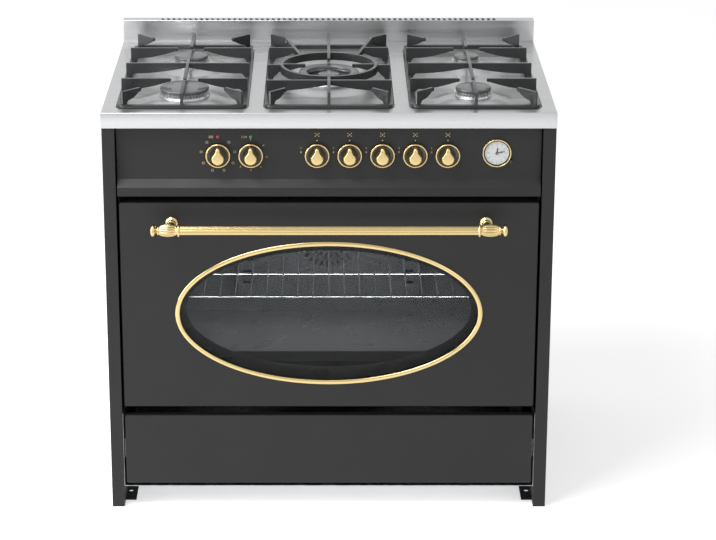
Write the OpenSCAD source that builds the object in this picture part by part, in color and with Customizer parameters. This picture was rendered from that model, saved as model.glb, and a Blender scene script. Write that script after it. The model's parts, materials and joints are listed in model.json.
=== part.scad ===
// Dual fuel range cooker: five gas burners over one electric oven and a storage drawer.
// The front faces -Y, the floor is Z = 0 and X = 0 is the middle of the cooker.
// Depths are counted back from the face of the closed door, and unit() moves them to the origin.

/* [Body] */
// Width across the worktop
body_w = 900; // [860:5:1000]
// Depth from the face of the door to the rear edge
body_d = 600; // [590:5:660]
// Height of the turned down edge of the worktop
lip_h = 32; // [26:1:36]
// How far the worktop's edge stands proud of the body
lip_out = 2; // [1:0.5:3]
// Height of the upstand above the worktop
upstand_h = 47; // [40:1:60]
// Depth of the upstand from front to back
upstand_d = 25; // [20:1:32]
// Thickness of the body's sheet metal
sheet_t = 1.5; // [1:0.1:1.8]
// Thickness of a folded side panel
side_t = 25; // [20:1:30]
// Clear height under the drawer front
toe_gap = 54; // [40:1:70]

/* [Drawer] */
// Height of the drawer front
drawer_h = 151; // [130:1:160]
// Depth of the drawer box
drawer_d = 480; // [400:5:500]

/* [Door] */
// Height of the oven door
door_h = 437; // [422:1:450]
// Thickness of the oven door
door_t = 40; // [38:0.5:42]
// Gap between the drawer front and the door
low_gap = 21; // [18:1:26]
// Gap between the door and the control panel
top_gap = 14; // [10:1:18]
// Gap at each side of the door and the drawer front
edge_gap = 6; // [4:0.5:8]
// Width of the oval window over its brass ring
window_w = 622; // [560:2:640]
// Height of the oval window over its brass ring
window_h = 308; // [260:2:320]
// Width of the brass ring
ring_w = 9.6; // [7:0.2:14]
// Thickness of the outer glass
glass_t = 4; // [3:0.5:5]

/* [Handle] */
// Length of the handle over its end balls
handle_l = 710; // [600:5:760]
// Diameter of the ribbed bar
bar_d = 18; // [14:1:20]
// Distance of the bar's centre from the face of the door
handle_out = 50; // [44:1:60]
// Height of the bar below the top of the door
handle_drop = 41; // [36:1:60]
// Number of ribs round the bar
bar_ribs = 16; // [12:1:20]

/* [Control panel] */
// Height of the control panel from its ledge to the worktop's edge
panel_h = 141; // [136:1:156]
// How far the panel's flat face lies behind the face of the door
panel_set = 12; // [8:1:16]
// Height of the ledge under the panel
ledge_h = 18; // [14:1:24]
// Height of the knobs' centres above the ledge's lower edge
knob_rise = 83; // [78:1:87]
// Diameter of a knob's brass rim
knob_d = 49; // [40:1:52]
// Gap between a knob and the panel
knob_gap = 4; // [3.5:0.5:6]
// How far a gas knob pushes in
knob_push = 3; // [2:0.5:3]
// Radius of a spindle
stem_r = 4; // [3:0.5:4]
// Diameter of the clock over its bezel
clock_d = 57.5; // [52:0.5:60]
// Clearance all round a turning or sliding fit
fit = 0.05; // [0.02:0.01:0.09]

/* [Hob] */
// Depth of the pressed pans below the worktop
pan_depth = 11; // [8:0.5:13]
// Width of a side pan
pan_w = 263; // [255:1:268]
// Width of the flat in front of the pans
pan_front = 25; // [22:1:30]
// Width of the flat between the pans and the upstand
pan_back = 47; // [42:1:54]
// Height of the conical seat pressed up round each burner
boss_h = 9; // [7:0.5:9]
// Corner radius of the pans
pan_r = 20; // [16:1:26]
// Width of the flat ridge between the pans
ridge_w = 30; // [26:1:36]
// Height of the pan supports above the worktop
support_h = 32; // [28:1:40]
// Thickness of the pan supports' blades
blade_t = 6; // [5:0.5:8]
// Outer diameter of the wok ring
wok_ring_d = 200; // [180:2:210]
// Diameter of the large front left burner's cap
rapid_d = 99; // [90:1:104]
// Diameter of the two medium burners' caps
medium_d = 72; // [66:1:80]
// Diameter of the small rear right burner's cap
small_d = 54; // [48:1:60]
// Diameter of the wok burner's outer crown
wok_d = 124; // [112:1:128]

/* [Oven] */
// Width of the oven's inside
oven_w = 700; // [680:5:720]
// Height of the oven's floor above the door's lower edge
oven_low = 36; // [34:1:40]
// How far the oven's roof lies below the door's upper edge
oven_high = 39; // [36:1:44]
// Room behind the oven for its jacket, the fan's motor and the wiring
rear_space = 108; // [104:1:130]
// Thickness of the mineral wool jacket
wool_t = 25; // [15:1:28]
// Diameter of the rack's rails
rail_d = 6; // [5:0.5:7]
// Diameter of the rack's thin wires
wire_d = 3; // [2:0.5:4]
// Spacing of the rack's thin wires
wire_pitch = 32; // [24:1:40]

/* [Hidden] */
$fn = 48;

// Gap between pieces that stand loose on one another
loose = 0.3;
// Pieces of one weldment run this far into each other
weld = 0.6;

// Body, from the floor up
half_w = body_w / 2;
side_x = half_w - 1;
bay_x = side_x - side_t;
drawer_top = toe_gap + drawer_h;
door_z = drawer_top + low_gap;
door_top = door_z + door_h;
panel_z = door_top + top_gap;
top_z = panel_z + panel_h;
worktop_h = top_z + lip_h;
knob_z = panel_z + knob_rise;
base_z = toe_gap - 10;
frame_z = drawer_top + 1;
frame_y = door_t + 4;
back_y = body_d - 15 - sheet_t;
face_x = bay_x - edge_gap;
deck_z = worktop_h - pan_depth;

// Handle and origin: the handle's end balls are the foremost points
finial_r = 14;
reach = handle_out + finial_r;
front_y = (reach - body_d) / 2;
bar_z = door_top - handle_drop;

// Door hinge pivot, close to the door's lower edge
pivot_y = 22;
pivot_z = door_z + 10;
hinge_x = oven_w / 2;
lug_r = 8;
pin_r = 4;
lug_w = 14;

// Oven
oven_z = door_z + oven_low;
oven_h = door_h - oven_low - oven_high;
oven_d = back_y - frame_y - sheet_t - rear_space;
oven_mid = oven_z + oven_h / 2;
mouth_r = 20;
oven_y = frame_y + sheet_t;
oven_back = oven_y + oven_d;
guide_y = [oven_y + 45, oven_back - 55];
guide_d = 5;
level_z = oven_z + 42.7;
level_step = 61.5;
fan_y = oven_back - 38;

// Hob pans: centre and width of each, left to right
pan_l = body_d - upstand_d - pan_front - pan_back;
pan_rear = pan_front + pan_l;
pan_mid_y = pan_front + pan_l / 2;
side_pan_x = half_w - 27 - pan_w / 2;
centre_pan_w = 2 * (side_pan_x - pan_w / 2 - ridge_w);
pans = [[-side_pan_x, pan_w], [0, centre_pan_w], [side_pan_x, pan_w]];

// Burners: X, depth, cap diameter; the last is the wok burner
front_row = pan_front + 110;
rear_row = pan_rear - 138;
wok_y = pan_mid_y - 20;
burners = [
    [-side_pan_x, front_row, rapid_d],
    [-side_pan_x, rear_row, medium_d],
    [side_pan_x, front_row, medium_d],
    [side_pan_x, rear_row, small_d],
    [0, wok_y, wok_d]
];
crown_h = 13;
cap_h = 7;
seat_z = deck_z + boss_h;
cap_top = seat_z + crown_h + cap_h;

// Controls: places along the panel
gas_knob_x = [-23.5, 41, 106, 171, 235.5];
function_x = -220;
thermostat_x = -155;
clock_x = 333;
clock_z = knob_z + 4;
setting_x = clock_x + 28.2;
setting_z = clock_z - 17.2;
lamp_z = knob_z + 37;
lamp_r = 3.2;
panel_back = panel_set + sheet_t;
tap_depth = 30;
rail_y = 66;
feed_x = half_w - 55;

// Colours of the finishes
paint = "#3d3e40";
steel = "#c9cacb";
brass_tone = "#e0c878";
enamel = "#35363a";
iron = "#3f4042";
chrome_tone = "#d5d7da";
alloy = "#b9bbbd";
wool_tone = "#c8b98a";

// Moves a piece from depths behind the door's face to the origin
module unit() translate([0, front_y, 0]) children();

// Box between two opposite corners
module block(a, b) translate(a) cube(b - a);

// Flat sheet at depth y, its outline drawn in X and Z
module upright(y, t) translate([0, y + t, 0]) rotate([90, 0, 0]) linear_extrude(t) children();

// Section drawn in Y and Z, carried along X
module along_x(x0, x1) translate([x0, 0, 0]) rotate([90, 0, 90]) linear_extrude(x1 - x0) children();

// Rod along Y between two depths
module rod_y(x, z, r, y0, y1) translate([x, y0, z]) rotate([-90, 0, 0]) cylinder(r = r, h = y1 - y0);

// Rod along X between two places
module rod_x(y, z, r, x0, x1) translate([x0, y, z]) rotate([0, 90, 0]) cylinder(r = r, h = x1 - x0);

// Local frame on the control panel's face, its Z pointing out at the cook
module on_panel(x, z) translate([x, panel_set, z]) rotate([90, 0, 0]) children();

// Rectangle with round corners about the origin
module rounded(w, h, r) {
    square([w - 2 * r, h], center = true);
    square([w, h - 2 * r], center = true);
    for (sx = [-1, 1], sy = [-1, 1])
        translate([sx * (w / 2 - r), sy * (h / 2 - r)]) circle(r);
}

// Frame-shaped outline of width b inside a rounded rectangle
module frame_outline(w, h, r, b) difference() {
    rounded(w, h, r);
    rounded(w - 2 * b, h - 2 * b, max(r - b, 0.5));
}

// Points of an ellipse with half axes a and b
function ellipse(a, b, n = 96) = [for (i = [0:n - 1]) [a * cos(360 * i / n), b * sin(360 * i / n)]];

// Profile carried round a rounded rectangle; its x counts inwards from the outline
module rim(w, d, r) {
    for (k = [0:3]) {
        half_run = (k % 2 == 0 ? d : w) / 2 - r;
        side = (k % 2 == 0 ? w : d) / 2;
        rotate(90 * k) {
            translate([side, half_run, 0]) rotate([90, 0, 0])
                linear_extrude(2 * half_run) mirror([1, 0]) children();
            translate([side - r, half_run, 0]) rotate_extrude(angle = 90)
                translate([r, 0]) mirror([1, 0]) children();
        }
    }
}

// Path with its corners rounded off
function bend(p, r, n = 3) = [for (i = [0:len(p) - 1])
    each i == 0 || i == len(p) - 1 ? [p[i]] :
        let (a = p[i] + r * unit_of(p[i - 1] - p[i]), b = p[i] + r * unit_of(p[i + 1] - p[i]))
        [for (k = [0:n]) let (u = k / n) (1 - u) * (1 - u) * a + 2 * u * (1 - u) * p[i] + u * u * b]];

// Tube carried along a path, its rings kept from twisting
function unit_of(v) = v / norm(v);
function heading(p, i) = unit_of(p[min(i + 1, len(p) - 1)] - p[max(i - 1, 0)]);
function across(p, i, u) = let (t = heading(p, i), w = unit_of(u - (u * t) * t))
    i == len(p) - 1 ? [w] : concat([w], across(p, i + 1, w));
module pipe(p, r, sides = 8) {
    start = abs(heading(p, 0)[2]) < 0.9 ? [0, 0, 1] : [1, 0, 0];
    u = across(p, 0, start);
    n = len(p);
    points = [for (i = [0:n - 1], j = [0:sides - 1]) let (a = 360 * j / sides)
        p[i] + r * (cos(a) * u[i] + sin(a) * cross(heading(p, i), u[i]))];
    walls = [for (i = [0:n - 2], j = [0:sides - 1]) let (k = (j + 1) % sides, a = i * sides, b = a + sides)
        each [[a + j, b + k, a + k], [a + j, b + j, b + k]]];
    polyhedron(points, concat(walls, [[for (j = [0:sides - 1]) j]],
        [[for (j = [sides - 1:-1:0]) (n - 1) * sides + j]]));
}

// Both sides of the cooker
module both() {
    children();
    mirror([1, 0, 0]) children();
}

// Body

// Folded side panel on the right, with its foot flanges and the holes for adjustable feet
flange_w = 22;
foot_w = 22;
foot_l = 88;
foot_y = [32, body_d - 32 - foot_l];
foot_hole_r = 5;
foot_hole_x = side_x - 33;
foot_t = 2;
module side_shell() {
    t = sheet_t;
    difference() {
        union() {
            difference() {
                block([bay_x, 0, 0], [side_x, body_d, top_z]);
                block([bay_x + t, t, t], [side_x - t, body_d - t, top_z - t]);
                // The inner wall is only a flange at the front and rear, above the plinth
                block([bay_x - 1, flange_w, base_z], [bay_x + t + 1, body_d - flange_w, top_z - t]);
            }
            for (y = foot_y) block([bay_x - foot_w, y, 0], [bay_x + t, y + foot_l, foot_t]);
        }
        for (y = foot_y)
            translate([foot_hole_x, y + foot_l / 2, -1]) cylinder(r = foot_hole_r, h = foot_t + 2);
    }
}
module side_panel_right() color(paint) unit() side_shell();
module side_panel_left() color(paint) unit() mirror([1, 0, 0]) side_shell();

// Floor and side walls of the drawer bay
module base_panel() color(steel) unit() {
    t = sheet_t;
    difference() {
        block([-bay_x, 6, base_z], [bay_x, back_y, frame_z]);
        block([-bay_x + t, 5, base_z + t], [bay_x - t, back_y + 1, frame_z + 1]);
    }
}

// Back panel with folded edges, louvre slots and the openings for gas and mains
louvre_n = 14;
louvre_pitch = 13;
louvre_w = 150;
louvre_x = bay_x - 234;
louvre_z = [base_z + 146, top_z - 298];
back_fold = 12;
lead_notch = 24;
module back_panel() color(paint) unit() {
    t = sheet_t;
    upright(back_y, t) difference() {
        translate([-bay_x, base_z]) square([2 * bay_x, top_z - base_z]);
        for (sx = [-1, 1], z = louvre_z, i = [0:louvre_n - 1])
            translate([sx * louvre_x, z + i * louvre_pitch]) square([louvre_w, 4], center = true);
        translate([gas_x, gas_z]) circle(shoulder_r + loose);
        translate([terminal_x, terminal_z]) circle(16);
        for (x = screw_x, z = screw_z) translate([x, z]) circle(screw_r + 0.2);
    }
    upright(back_y + t, back_fold) difference() {
        translate([-bay_x, base_z]) square([2 * bay_x, top_z - base_z]);
        translate([-bay_x + t, base_z + t]) square([2 * (bay_x - t), top_z - base_z - 2 * t]);
        // The lead hangs down through the lower fold
        translate([terminal_x - lead_notch / 2, base_z - 1]) square([lead_notch, t + 2]);
    }
}

// Screws that hold the back panel
screw_r = 2;
screw_x = [-bay_x + 14, -140, 140, bay_x - 14];
screw_z = [base_z + 40, worktop_h / 2, top_z - 30];
module screws() color(steel) unit() for (x = screw_x, z = screw_z) {
    rod_y(x, z, screw_r, back_y - 6, back_y + sheet_t + 1);
    translate([x, back_y + sheet_t, z]) rotate([-90, 0, 0]) difference() {
        rotate_extrude() polygon([[0, 0], [4, 0], [4, 1], [3.2, 2.2], [0, 2.6]]);
        translate([-0.5, -2.6, 1.6]) cube([1, 5.2, 2]);
        translate([-2.6, -0.5, 1.6]) cube([5.2, 1, 2]);
    }
}

// Front frame: the sheet round the oven's mouth, its flanges and the lugs of the door hinges
module front_frame() color(paint) unit() {
    t = sheet_t;
    difference() {
        union() {
            upright(frame_y, t) difference() {
                translate([-bay_x, frame_z]) square([2 * bay_x, panel_z - frame_z]);
                translate([0, oven_mid]) rounded(oven_w, oven_h, mouth_r);
            }
            block([-bay_x + t, frame_y, frame_z], [bay_x - t, frame_y + flange_w, frame_z + t]);
            block([-bay_x + t, frame_y, panel_z - t], [bay_x - t, frame_y + flange_w, panel_z]);
            for (sx = [-1, 1]) {
                rod_x(pivot_y, pivot_z, lug_r, sx * hinge_x - lug_w / 2, sx * hinge_x + lug_w / 2);
                block([sx * hinge_x - lug_w / 2, pivot_y, pivot_z - 7],
                    [sx * hinge_x + lug_w / 2, frame_y + 1, pivot_z + 7]);
            }
        }
        for (sx = [-1, 1])
            rod_x(pivot_y, pivot_z, pin_r + fit, sx * hinge_x - lug_w, sx * hinge_x + lug_w);
    }
}

// Worktop

// Section of a pan's drawn wall: the edge turns down, drops and runs out into the floor
wall_edge_r = 2.3;
wall_root_r = 3;
wall_run = wall_edge_r + wall_root_r;
function pan_wall() = concat(
    [for (i = [0:4]) wall_edge_r * [sin(22.5 * i), cos(22.5 * i) - 1]],
    [for (i = [0:4]) [wall_edge_r + wall_root_r * (1 - cos(22.5 * i)),
        -pan_depth + wall_root_r * (1 - sin(22.5 * i))]]
);
module pan_section() {
    top = pan_wall();
    polygon(concat(
        [[-1.4, 0]], top, [[wall_run + 2, -pan_depth], [wall_run + 2, -pan_depth - sheet_t]],
        [for (i = [len(top) - 1:-1:0]) top[i] - [sheet_t * 0.7, sheet_t]]
    ));
}

// One pan: drawn wall all round and a floor
module pan(x, w) translate([x, pan_mid_y, worktop_h]) {
    rim(w, pan_l, pan_r) pan_section();
    translate([0, 0, -pan_depth - sheet_t]) linear_extrude(sheet_t) difference() {
        rounded(w - 2 * wall_run - 2, pan_l - 2 * wall_run - 2, pan_r - wall_run - 1);
        for (b = burners)
            translate([b[0] - x, b[1] - pan_mid_y]) circle(boss_out(b) - 3);
    }
}

// Conical seat that the pan is pressed up to round a burner
boss_run = 32;
function boss_top(b) = b[2] / 2 + 12;
function boss_out(b) = boss_top(b) + boss_run;
module boss(b) translate([b[0], b[1], deck_z]) rotate_extrude() {
    hole = burner_hole(b) - 1;
    polygon([[hole, boss_h], [boss_top(b), boss_h], [boss_out(b), 0], [boss_out(b), -sheet_t],
        [boss_out(b) - 5, -sheet_t], [boss_top(b) - 1, boss_h - sheet_t], [hole, boss_h - sheet_t]]);
}

function burner_hole(b) = b[2] * 0.3 + 1;
// The vent opening under the upstand stops this far from the worktop's sides
vent_in = 60;
vent_edge = 5;
lip_fold = 16;
module worktop() color(steel) unit() {
    t = sheet_t;
    front = -lip_out;
    difference() {
        union() {
            // The flats round and between the pans
            translate([0, 0, worktop_h - t]) linear_extrude(t) difference() {
                translate([-half_w, front]) square([body_w, body_d - front]);
                for (p = pans) translate([p[0], pan_mid_y]) rounded(p[1], pan_l, pan_r);
                translate([-half_w + vent_in, body_d - upstand_d + vent_edge])
                    square([body_w - 2 * vent_in, upstand_d - 2 * vent_edge]);
            }
            for (p = pans) pan(p[0], p[1]);
            for (b = burners) boss(b);
            // Turned down edges with a fold under them that rests on the side panels
            difference() {
                block([-half_w, front, top_z], [half_w, body_d, worktop_h]);
                block([-half_w + t, front + t, top_z + t], [half_w - t, body_d - t, worktop_h + 1]);
                block([-half_w + lip_fold, front + lip_fold, top_z - 1],
                    [half_w - lip_fold, body_d - 10, worktop_h]);
            }
        }
        for (b = burners) translate([b[0], b[1], deck_z - 5]) cylinder(r = burner_hole(b), h = boss_h + 12);
        for (b = burners, s = [-1, 1])
            translate(electrode(b, s) + [0, 0, seat_z - 5]) cylinder(r = 2.6, h = 12);
    }
}

// Upstand: folded box along the rear edge with a row of vent slots in its top
slot_w = 6;
slot_l = upstand_d - 7;
slot_pitch = 12.1;
slot_n = floor((body_w - 2.5 * vent_in) / slot_pitch);
module upstand() color(steel) unit() {
    t = sheet_t;
    y0 = body_d - upstand_d;
    z1 = worktop_h + upstand_h;
    translate([0, 0, z1 - t]) linear_extrude(t) difference() {
        translate([-half_w, y0]) square([body_w, upstand_d]);
        for (i = [0:slot_n - 1])
            translate([(i - (slot_n - 1) / 2) * slot_pitch, y0 + upstand_d / 2])
                square([slot_w, slot_l], center = true);
    }
    difference() {
        block([-half_w, y0, worktop_h], [half_w, body_d, z1]);
        block([-half_w + t, y0 + t, worktop_h + t], [half_w - t, body_d - t, z1 + 1]);
        block([-half_w + 12, y0 + vent_edge, worktop_h - 1], [half_w - 12, body_d - vent_edge, z1 + 1]);
    }
}

// Control panel: flat face, bevel, ledge and the flanges that close it
module control_panel() color(paint) unit() {
    t = sheet_t;
    bevel_z = panel_z + ledge_h;
    w = bay_x - 3;
    difference() {
        along_x(-w, w) difference() {
            polygon([[0, panel_z], [0, bevel_z], [panel_set, bevel_z + panel_set * 1.25],
                [panel_set, top_z], [frame_y, top_z], [frame_y, panel_z]]);
            polygon([[t, panel_z + t], [t, bevel_z - t * 0.4],
                [panel_set + t, bevel_z + panel_set * 1.25 - t * 0.4],
                [panel_set + t, top_z - t], [frame_y + 1, top_z - t], [frame_y + 1, panel_z + t]]);
        }
        for (x = gas_knob_x) rod_y(x, knob_z, stem_r + 1.5, panel_set - 1, panel_back + 1);
        for (x = [function_x, thermostat_x]) {
            rod_y(x, knob_z, stem_r + 1.5, panel_set - 1, panel_back + 1);
            rod_y(x, lamp_z, lamp_r + 0.2, panel_set - 1, panel_back + 1);
        }
        rod_y(clock_x, clock_z, clock_can_r + 0.4, panel_set - 1, panel_back + 1);
        rod_y(setting_x, setting_z, setting_r + fit, panel_set - 1, panel_back + 1);
    }
}

// Oven

// Enamelled cavity: walls, rear wall and the flange that bolts to the front frame
cavity_out = [oven_w + 2 * sheet_t, oven_h + 2 * sheet_t];
lamp_x = 60 - oven_w / 2;
oven_lamp_z = oven_z + oven_h - 50;
lamp_hole_r = 22.3;
cavity_flange = 14;
module cavity_outline(extra = 0)
    translate([0, oven_mid]) rounded(cavity_out[0] + 2 * extra, cavity_out[1] + 2 * extra,
        mouth_r + sheet_t + extra);
module oven_cavity() color(enamel) unit() {
    t = sheet_t;
    upright(oven_y, oven_d) difference() {
        cavity_outline();
        translate([0, oven_mid]) rounded(oven_w, oven_h, mouth_r);
    }
    upright(oven_y, t) difference() {
        cavity_outline(cavity_flange);
        translate([0, oven_mid]) rounded(oven_w, oven_h, mouth_r);
    }
    upright(oven_back - weld, t + weld) difference() {
        cavity_outline();
        translate([0, oven_mid]) circle(7);
        translate([lamp_x, oven_lamp_z]) circle(lamp_hole_r);
    }
}

// Woven seal in front of the frame, just clear of the closed door
gasket_w = 10;
gasket_out = 17;
module oven_gasket() color("#55524c") unit() upright(door_t + loose, frame_y - door_t - loose)
    translate([0, oven_mid])
        frame_outline(oven_w + 2 * gasket_out, oven_h + 2 * gasket_out, mouth_r + gasket_out, gasket_w);

// Mineral wool jacket round the cavity
module insulation() color(wool_tone) unit() {
    y0 = oven_y + sheet_t;
    y1 = oven_back + sheet_t;
    upright(y0, y1 - y0 + wool_t) difference() {
        cavity_outline(wool_t);
        cavity_outline();
    }
    upright(y1, wool_t) difference() {
        cavity_outline(weld);
        translate([0, oven_mid]) circle(motor_r + 4);
        translate([lamp_x, oven_lamp_z]) circle(lamp_hole_r + 0.2);
    }
}

// Baffle in front of the fan: flanged sheet with a ring of intake slots
cover_w = oven_w - 300;
cover_h = oven_h - 80;
cover_y = fan_y - 6;
cover_r = 14;
module fan_cover() color(enamel) unit() {
    t = sheet_t;
    upright(cover_y, t) difference() {
        translate([0, oven_mid]) rounded(cover_w, cover_h, cover_r);
        for (ring = [1:3], i = [0:9 * ring + 3]) translate([0, oven_mid])
            rotate(i * 360 / (9 * ring + 4)) translate([8 + 18 * ring, 0]) square([12, 5], center = true);
        for (sx = [-1, 1], i = [-4:4])
            translate([sx * (cover_w / 2 - 24), oven_mid + i * 26]) square([22, 6], center = true);
    }
    upright(cover_y, oven_back - weld - cover_y) translate([0, oven_mid])
        frame_outline(cover_w, cover_h, cover_r, t);
}

// Convection fan: back disc, blades and the shaft that runs in the motor
fan_r = 78;
fan_blades = 8;
module fan_blade() color(steel) unit() translate([0, fan_y, oven_mid]) rotate([-90, 0, 0]) {
    translate([0, 0, 26]) cylinder(r = fan_r, h = sheet_t);
    translate([0, 0, 4]) cylinder(r = 11, h = 24);
    for (i = [0:fan_blades - 1]) rotate(i * 360 / fan_blades)
        translate([10, -0.8, 6]) cube([fan_r - 12, 1.6, 21]);
    cylinder(r = pin_r, h = oven_back - fan_y + 30);
}

// Fan motor behind the jacket, with the bush that carries the shaft
motor_r = 36;
module fan_motor() color(alloy) unit() translate([0, oven_back + sheet_t, oven_mid])
    rotate([-90, 0, 0]) difference() {
        union() {
            cylinder(r = 16, h = 12);
            translate([0, 0, 12 - weld]) cylinder(r = motor_r, h = 40);
            translate([-motor_r * 0.6, -motor_r * 0.8, 12]) cube([motor_r * 1.2, motor_r * 1.6, 26]);
        }
        translate([0, 0, -1]) cylinder(r = pin_r + fit, h = 34);
    }

// Heating elements: two nested grill loops under the roof and the ring round the fan
rod_r = 3.5;
grill_z = oven_z + oven_h - 28;
ring_element_r = fan_r + 14;
ring_element_y = fan_y + 18;
module grill_loop(half, front) pipe(bend([
    [-half, oven_back - weld, grill_z], [-half, front, grill_z],
    [half, front, grill_z], [half, oven_back - weld, grill_z]
], 30), rod_r);
module heating_elements() color("#6f6a66") unit() {
    ends = 10;
    grill_loop(oven_w / 2 - 100, oven_y + 60);
    grill_loop(oven_w / 2 - 210, oven_y + 120);
    ring = [for (i = [0:32]) let (a = -90 + ends + i * (360 - 2 * ends) / 32)
        [ring_element_r * cos(a), ring_element_y, oven_mid + ring_element_r * sin(a)]];
    leg = [0, oven_back - weld - ring_element_y, 0];
    pipe(concat([ring[0] + leg, ring[0] + leg / 3], [for (i = [1:31]) ring[i]],
        [ring[32] + leg / 3, ring[32] + leg]), rod_r);
}

// Oven lamp: domed glass in the rear wall and its holder behind it
module oven_lamp() color("#e8ecec") unit() translate([lamp_x, oven_back, oven_lamp_z])
    rotate([90, 0, 0]) rotate_extrude() polygon(concat(
        [[0, -30], [22, -30], [22, 0.6], [27, 0.6], [27, 4]],
        [for (i = [0:6]) [24 * cos(15 * i), 4 + 16 * sin(15 * i)]]
    ));

// Wire ladders that carry the rack and the tray
guide_x = oven_w / 2 - 5;
runner_x = guide_x - guide_d + 0.5;
module shelf_guides() color(chrome_tone) unit() both() {
    for (y = guide_y) {
        translate([guide_x, y, level_z - 30]) cylinder(d = guide_d, h = 4 * level_step + 60);
        for (z = [level_z - 20, level_z + 4 * level_step + 20])
            rod_x(y, z, guide_d / 2, guide_x, oven_w / 2);
    }
    for (k = [0:4])
        rod_y(runner_x, level_z + k * level_step, guide_d / 2, guide_y[0] - 30, guide_y[1] + 30);
}

// Top of a pair of runners
function level_top(k) = level_z + k * level_step + guide_d / 2;

// Chromed rack: side rails on the runners, cross rails and thin wires from front to back
rack_front = oven_y + 34.5;
rack_mid = rack_front + 140;
rack_rear = cover_y - 8;
rack_x = guide_x - guide_d / 2 - loose - rail_d / 2;
rack_z = level_top(2) + loose + rail_d / 2;
module oven_rack() color(chrome_tone) unit() {
    wires = floor((rack_x - 8) / wire_pitch);
    for (sx = [-1, 1]) rod_y(sx * rack_x, rack_z, rail_d / 2, rack_front, rack_rear);
    for (y = [rack_front, rack_mid, rack_rear])
        rod_x(y, rack_z, rail_d / 2, -rack_x, rack_x);
    for (i = [-wires:wires])
        rod_y(i * wire_pitch, rack_z + rail_d / 2 + wire_d * 0.35, wire_d / 2, rack_front - 2, rack_rear + 2);
}

// Enamelled tray with a flat rim
tray_front = oven_y + 50.5;
tray_rear = cover_y - 8;
tray_z = level_top(0) + loose;
tray_depth = 26;
module oven_tray() color(enamel) unit() {
    w = 2 * (guide_x - guide_d / 2 - loose);
    d = tray_rear - tray_front;
    inner_w = 2 * (runner_x - guide_d / 2 - 3);
    t = 1.2;
    translate([0, (tray_front + tray_rear) / 2, tray_z]) {
        linear_extrude(t) difference() {
            rounded(w, d, 12);
            rounded(inner_w - 2 * t, d - 24 - 2 * t, 14);
        }
        translate([0, 0, -tray_depth]) linear_extrude(tray_depth + t / 2)
            frame_outline(inner_w, d - 24, 15, t);
        translate([0, 0, -tray_depth]) linear_extrude(t) rounded(inner_w, d - 24, 15);
    }
}

// Door

door_mid = (door_z + door_top) / 2;
window_z = oven_mid - 15;
notch_w = 28;
skin_d = 18;

// Cuts for the hinge lugs in the door's lower edge
module hinge_notches() for (sx = [-1, 1])
    block([sx * hinge_x - notch_w / 2, pivot_y - 11, door_z - 1],
        [sx * hinge_x + notch_w / 2, door_t + 1, pivot_z + 11]);

module door_outline() translate([0, door_mid]) rounded(2 * face_x, door_h, 3);
module door_skin() color(paint) unit() difference() {
    union() {
        upright(0, sheet_t) difference() {
            door_outline();
            translate([0, window_z]) polygon(ellipse(window_w / 2 - 4, window_h / 2 - 4));
        }
        upright(0, skin_d) translate([0, door_mid]) frame_outline(2 * face_x, door_h, 3, sheet_t);
    }
    hinge_notches();
}

// Inner liner: side walls, the plate with the oval sight opening and the flange the seal meets
sight_y = 28;
pane_t = 5;
pane_w = window_w + 68;
pane_h = window_h + 8;
module door_liner() color(enamel) unit() {
    t = sheet_t;
    difference() {
        union() {
            upright(skin_d, door_t - skin_d) translate([0, door_mid])
                frame_outline(2 * face_x, door_h, 3, t);
            upright(sight_y, t) difference() {
                door_outline();
                translate([0, window_z]) polygon(ellipse(window_w / 2 - 21.5, window_h / 2 - 28));
            }
            upright(door_t - t, t) difference() {
                door_outline();
                translate([0, window_z]) rounded(pane_w - 30, pane_h - 30, 12);
            }
            upright(sight_y + t + pane_t, door_t - sight_y - t - pane_t) translate([0, window_z])
                frame_outline(pane_w - 30 + 2 * t, pane_h - 30 + 2 * t, 12 + t, t);
        }
        hinge_notches();
    }
}
module door_glass_outer() color("#23262a", 0.5) unit() upright(sheet_t, glass_t)
    translate([0, window_z]) polygon(ellipse(window_w / 2 + 6, window_h / 2 + 6));
module door_glass_inner() color("#23262a", 0.5) unit() upright(sight_y + sheet_t, pane_t)
    translate([0, window_z]) rounded(pane_w, pane_h, 8);

// Brass ring: a half round band carried round the oval, with a lip inside the skin's opening
module window_ring() color(brass_tone) unit() translate([0, 0, window_z]) rotate([90, 0, 0]) {
    n = 72;
    a = window_w / 2;
    b = window_h / 2;
    section = concat(
        [[0, 0]],
        [for (i = [0:6]) [ring_w / 2 * (1 - cos(30 * i)), 0.6 + 2.6 * sin(30 * i)]],
        [[ring_w, 0], [ring_w, -sheet_t], [4.3, -sheet_t], [4.3, 0]]
    );
    m = len(section);
    points = [for (i = [0:n - 1], p = section)
        [(a - p[0]) * cos(360 * i / n), (b - p[0]) * sin(360 * i / n), p[1]]];
    faces = [for (i = [0:n - 1], j = [0:m - 1]) let (i2 = (i + 1) % n, j2 = (j + 1) % m)
        [i * m + j, i * m + j2, i2 * m + j2, i2 * m + j]];
    polyhedron(points, faces);
}

// Handle: ribbed bar between two cast ends
end_l = 60;
bar_half = handle_l / 2 - end_l;
post_x = handle_l / 2 - 41;
module at_bar() translate([0, -handle_out, bar_z]) children();
module handle_bar() color(brass_tone) unit() at_bar() rotate([90, 0, 90])
    translate([0, 0, -bar_half]) linear_extrude(2 * bar_half) polygon([
        for (i = [0:bar_ribs - 1], s = [0:3])
            (bar_d / 2 - 0.9 * (1 - sin(45 + s * 45))) * [cos((i + s / 4) * 360 / bar_ribs),
                sin((i + s / 4) * 360 / bar_ribs)]
    ]);

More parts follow.
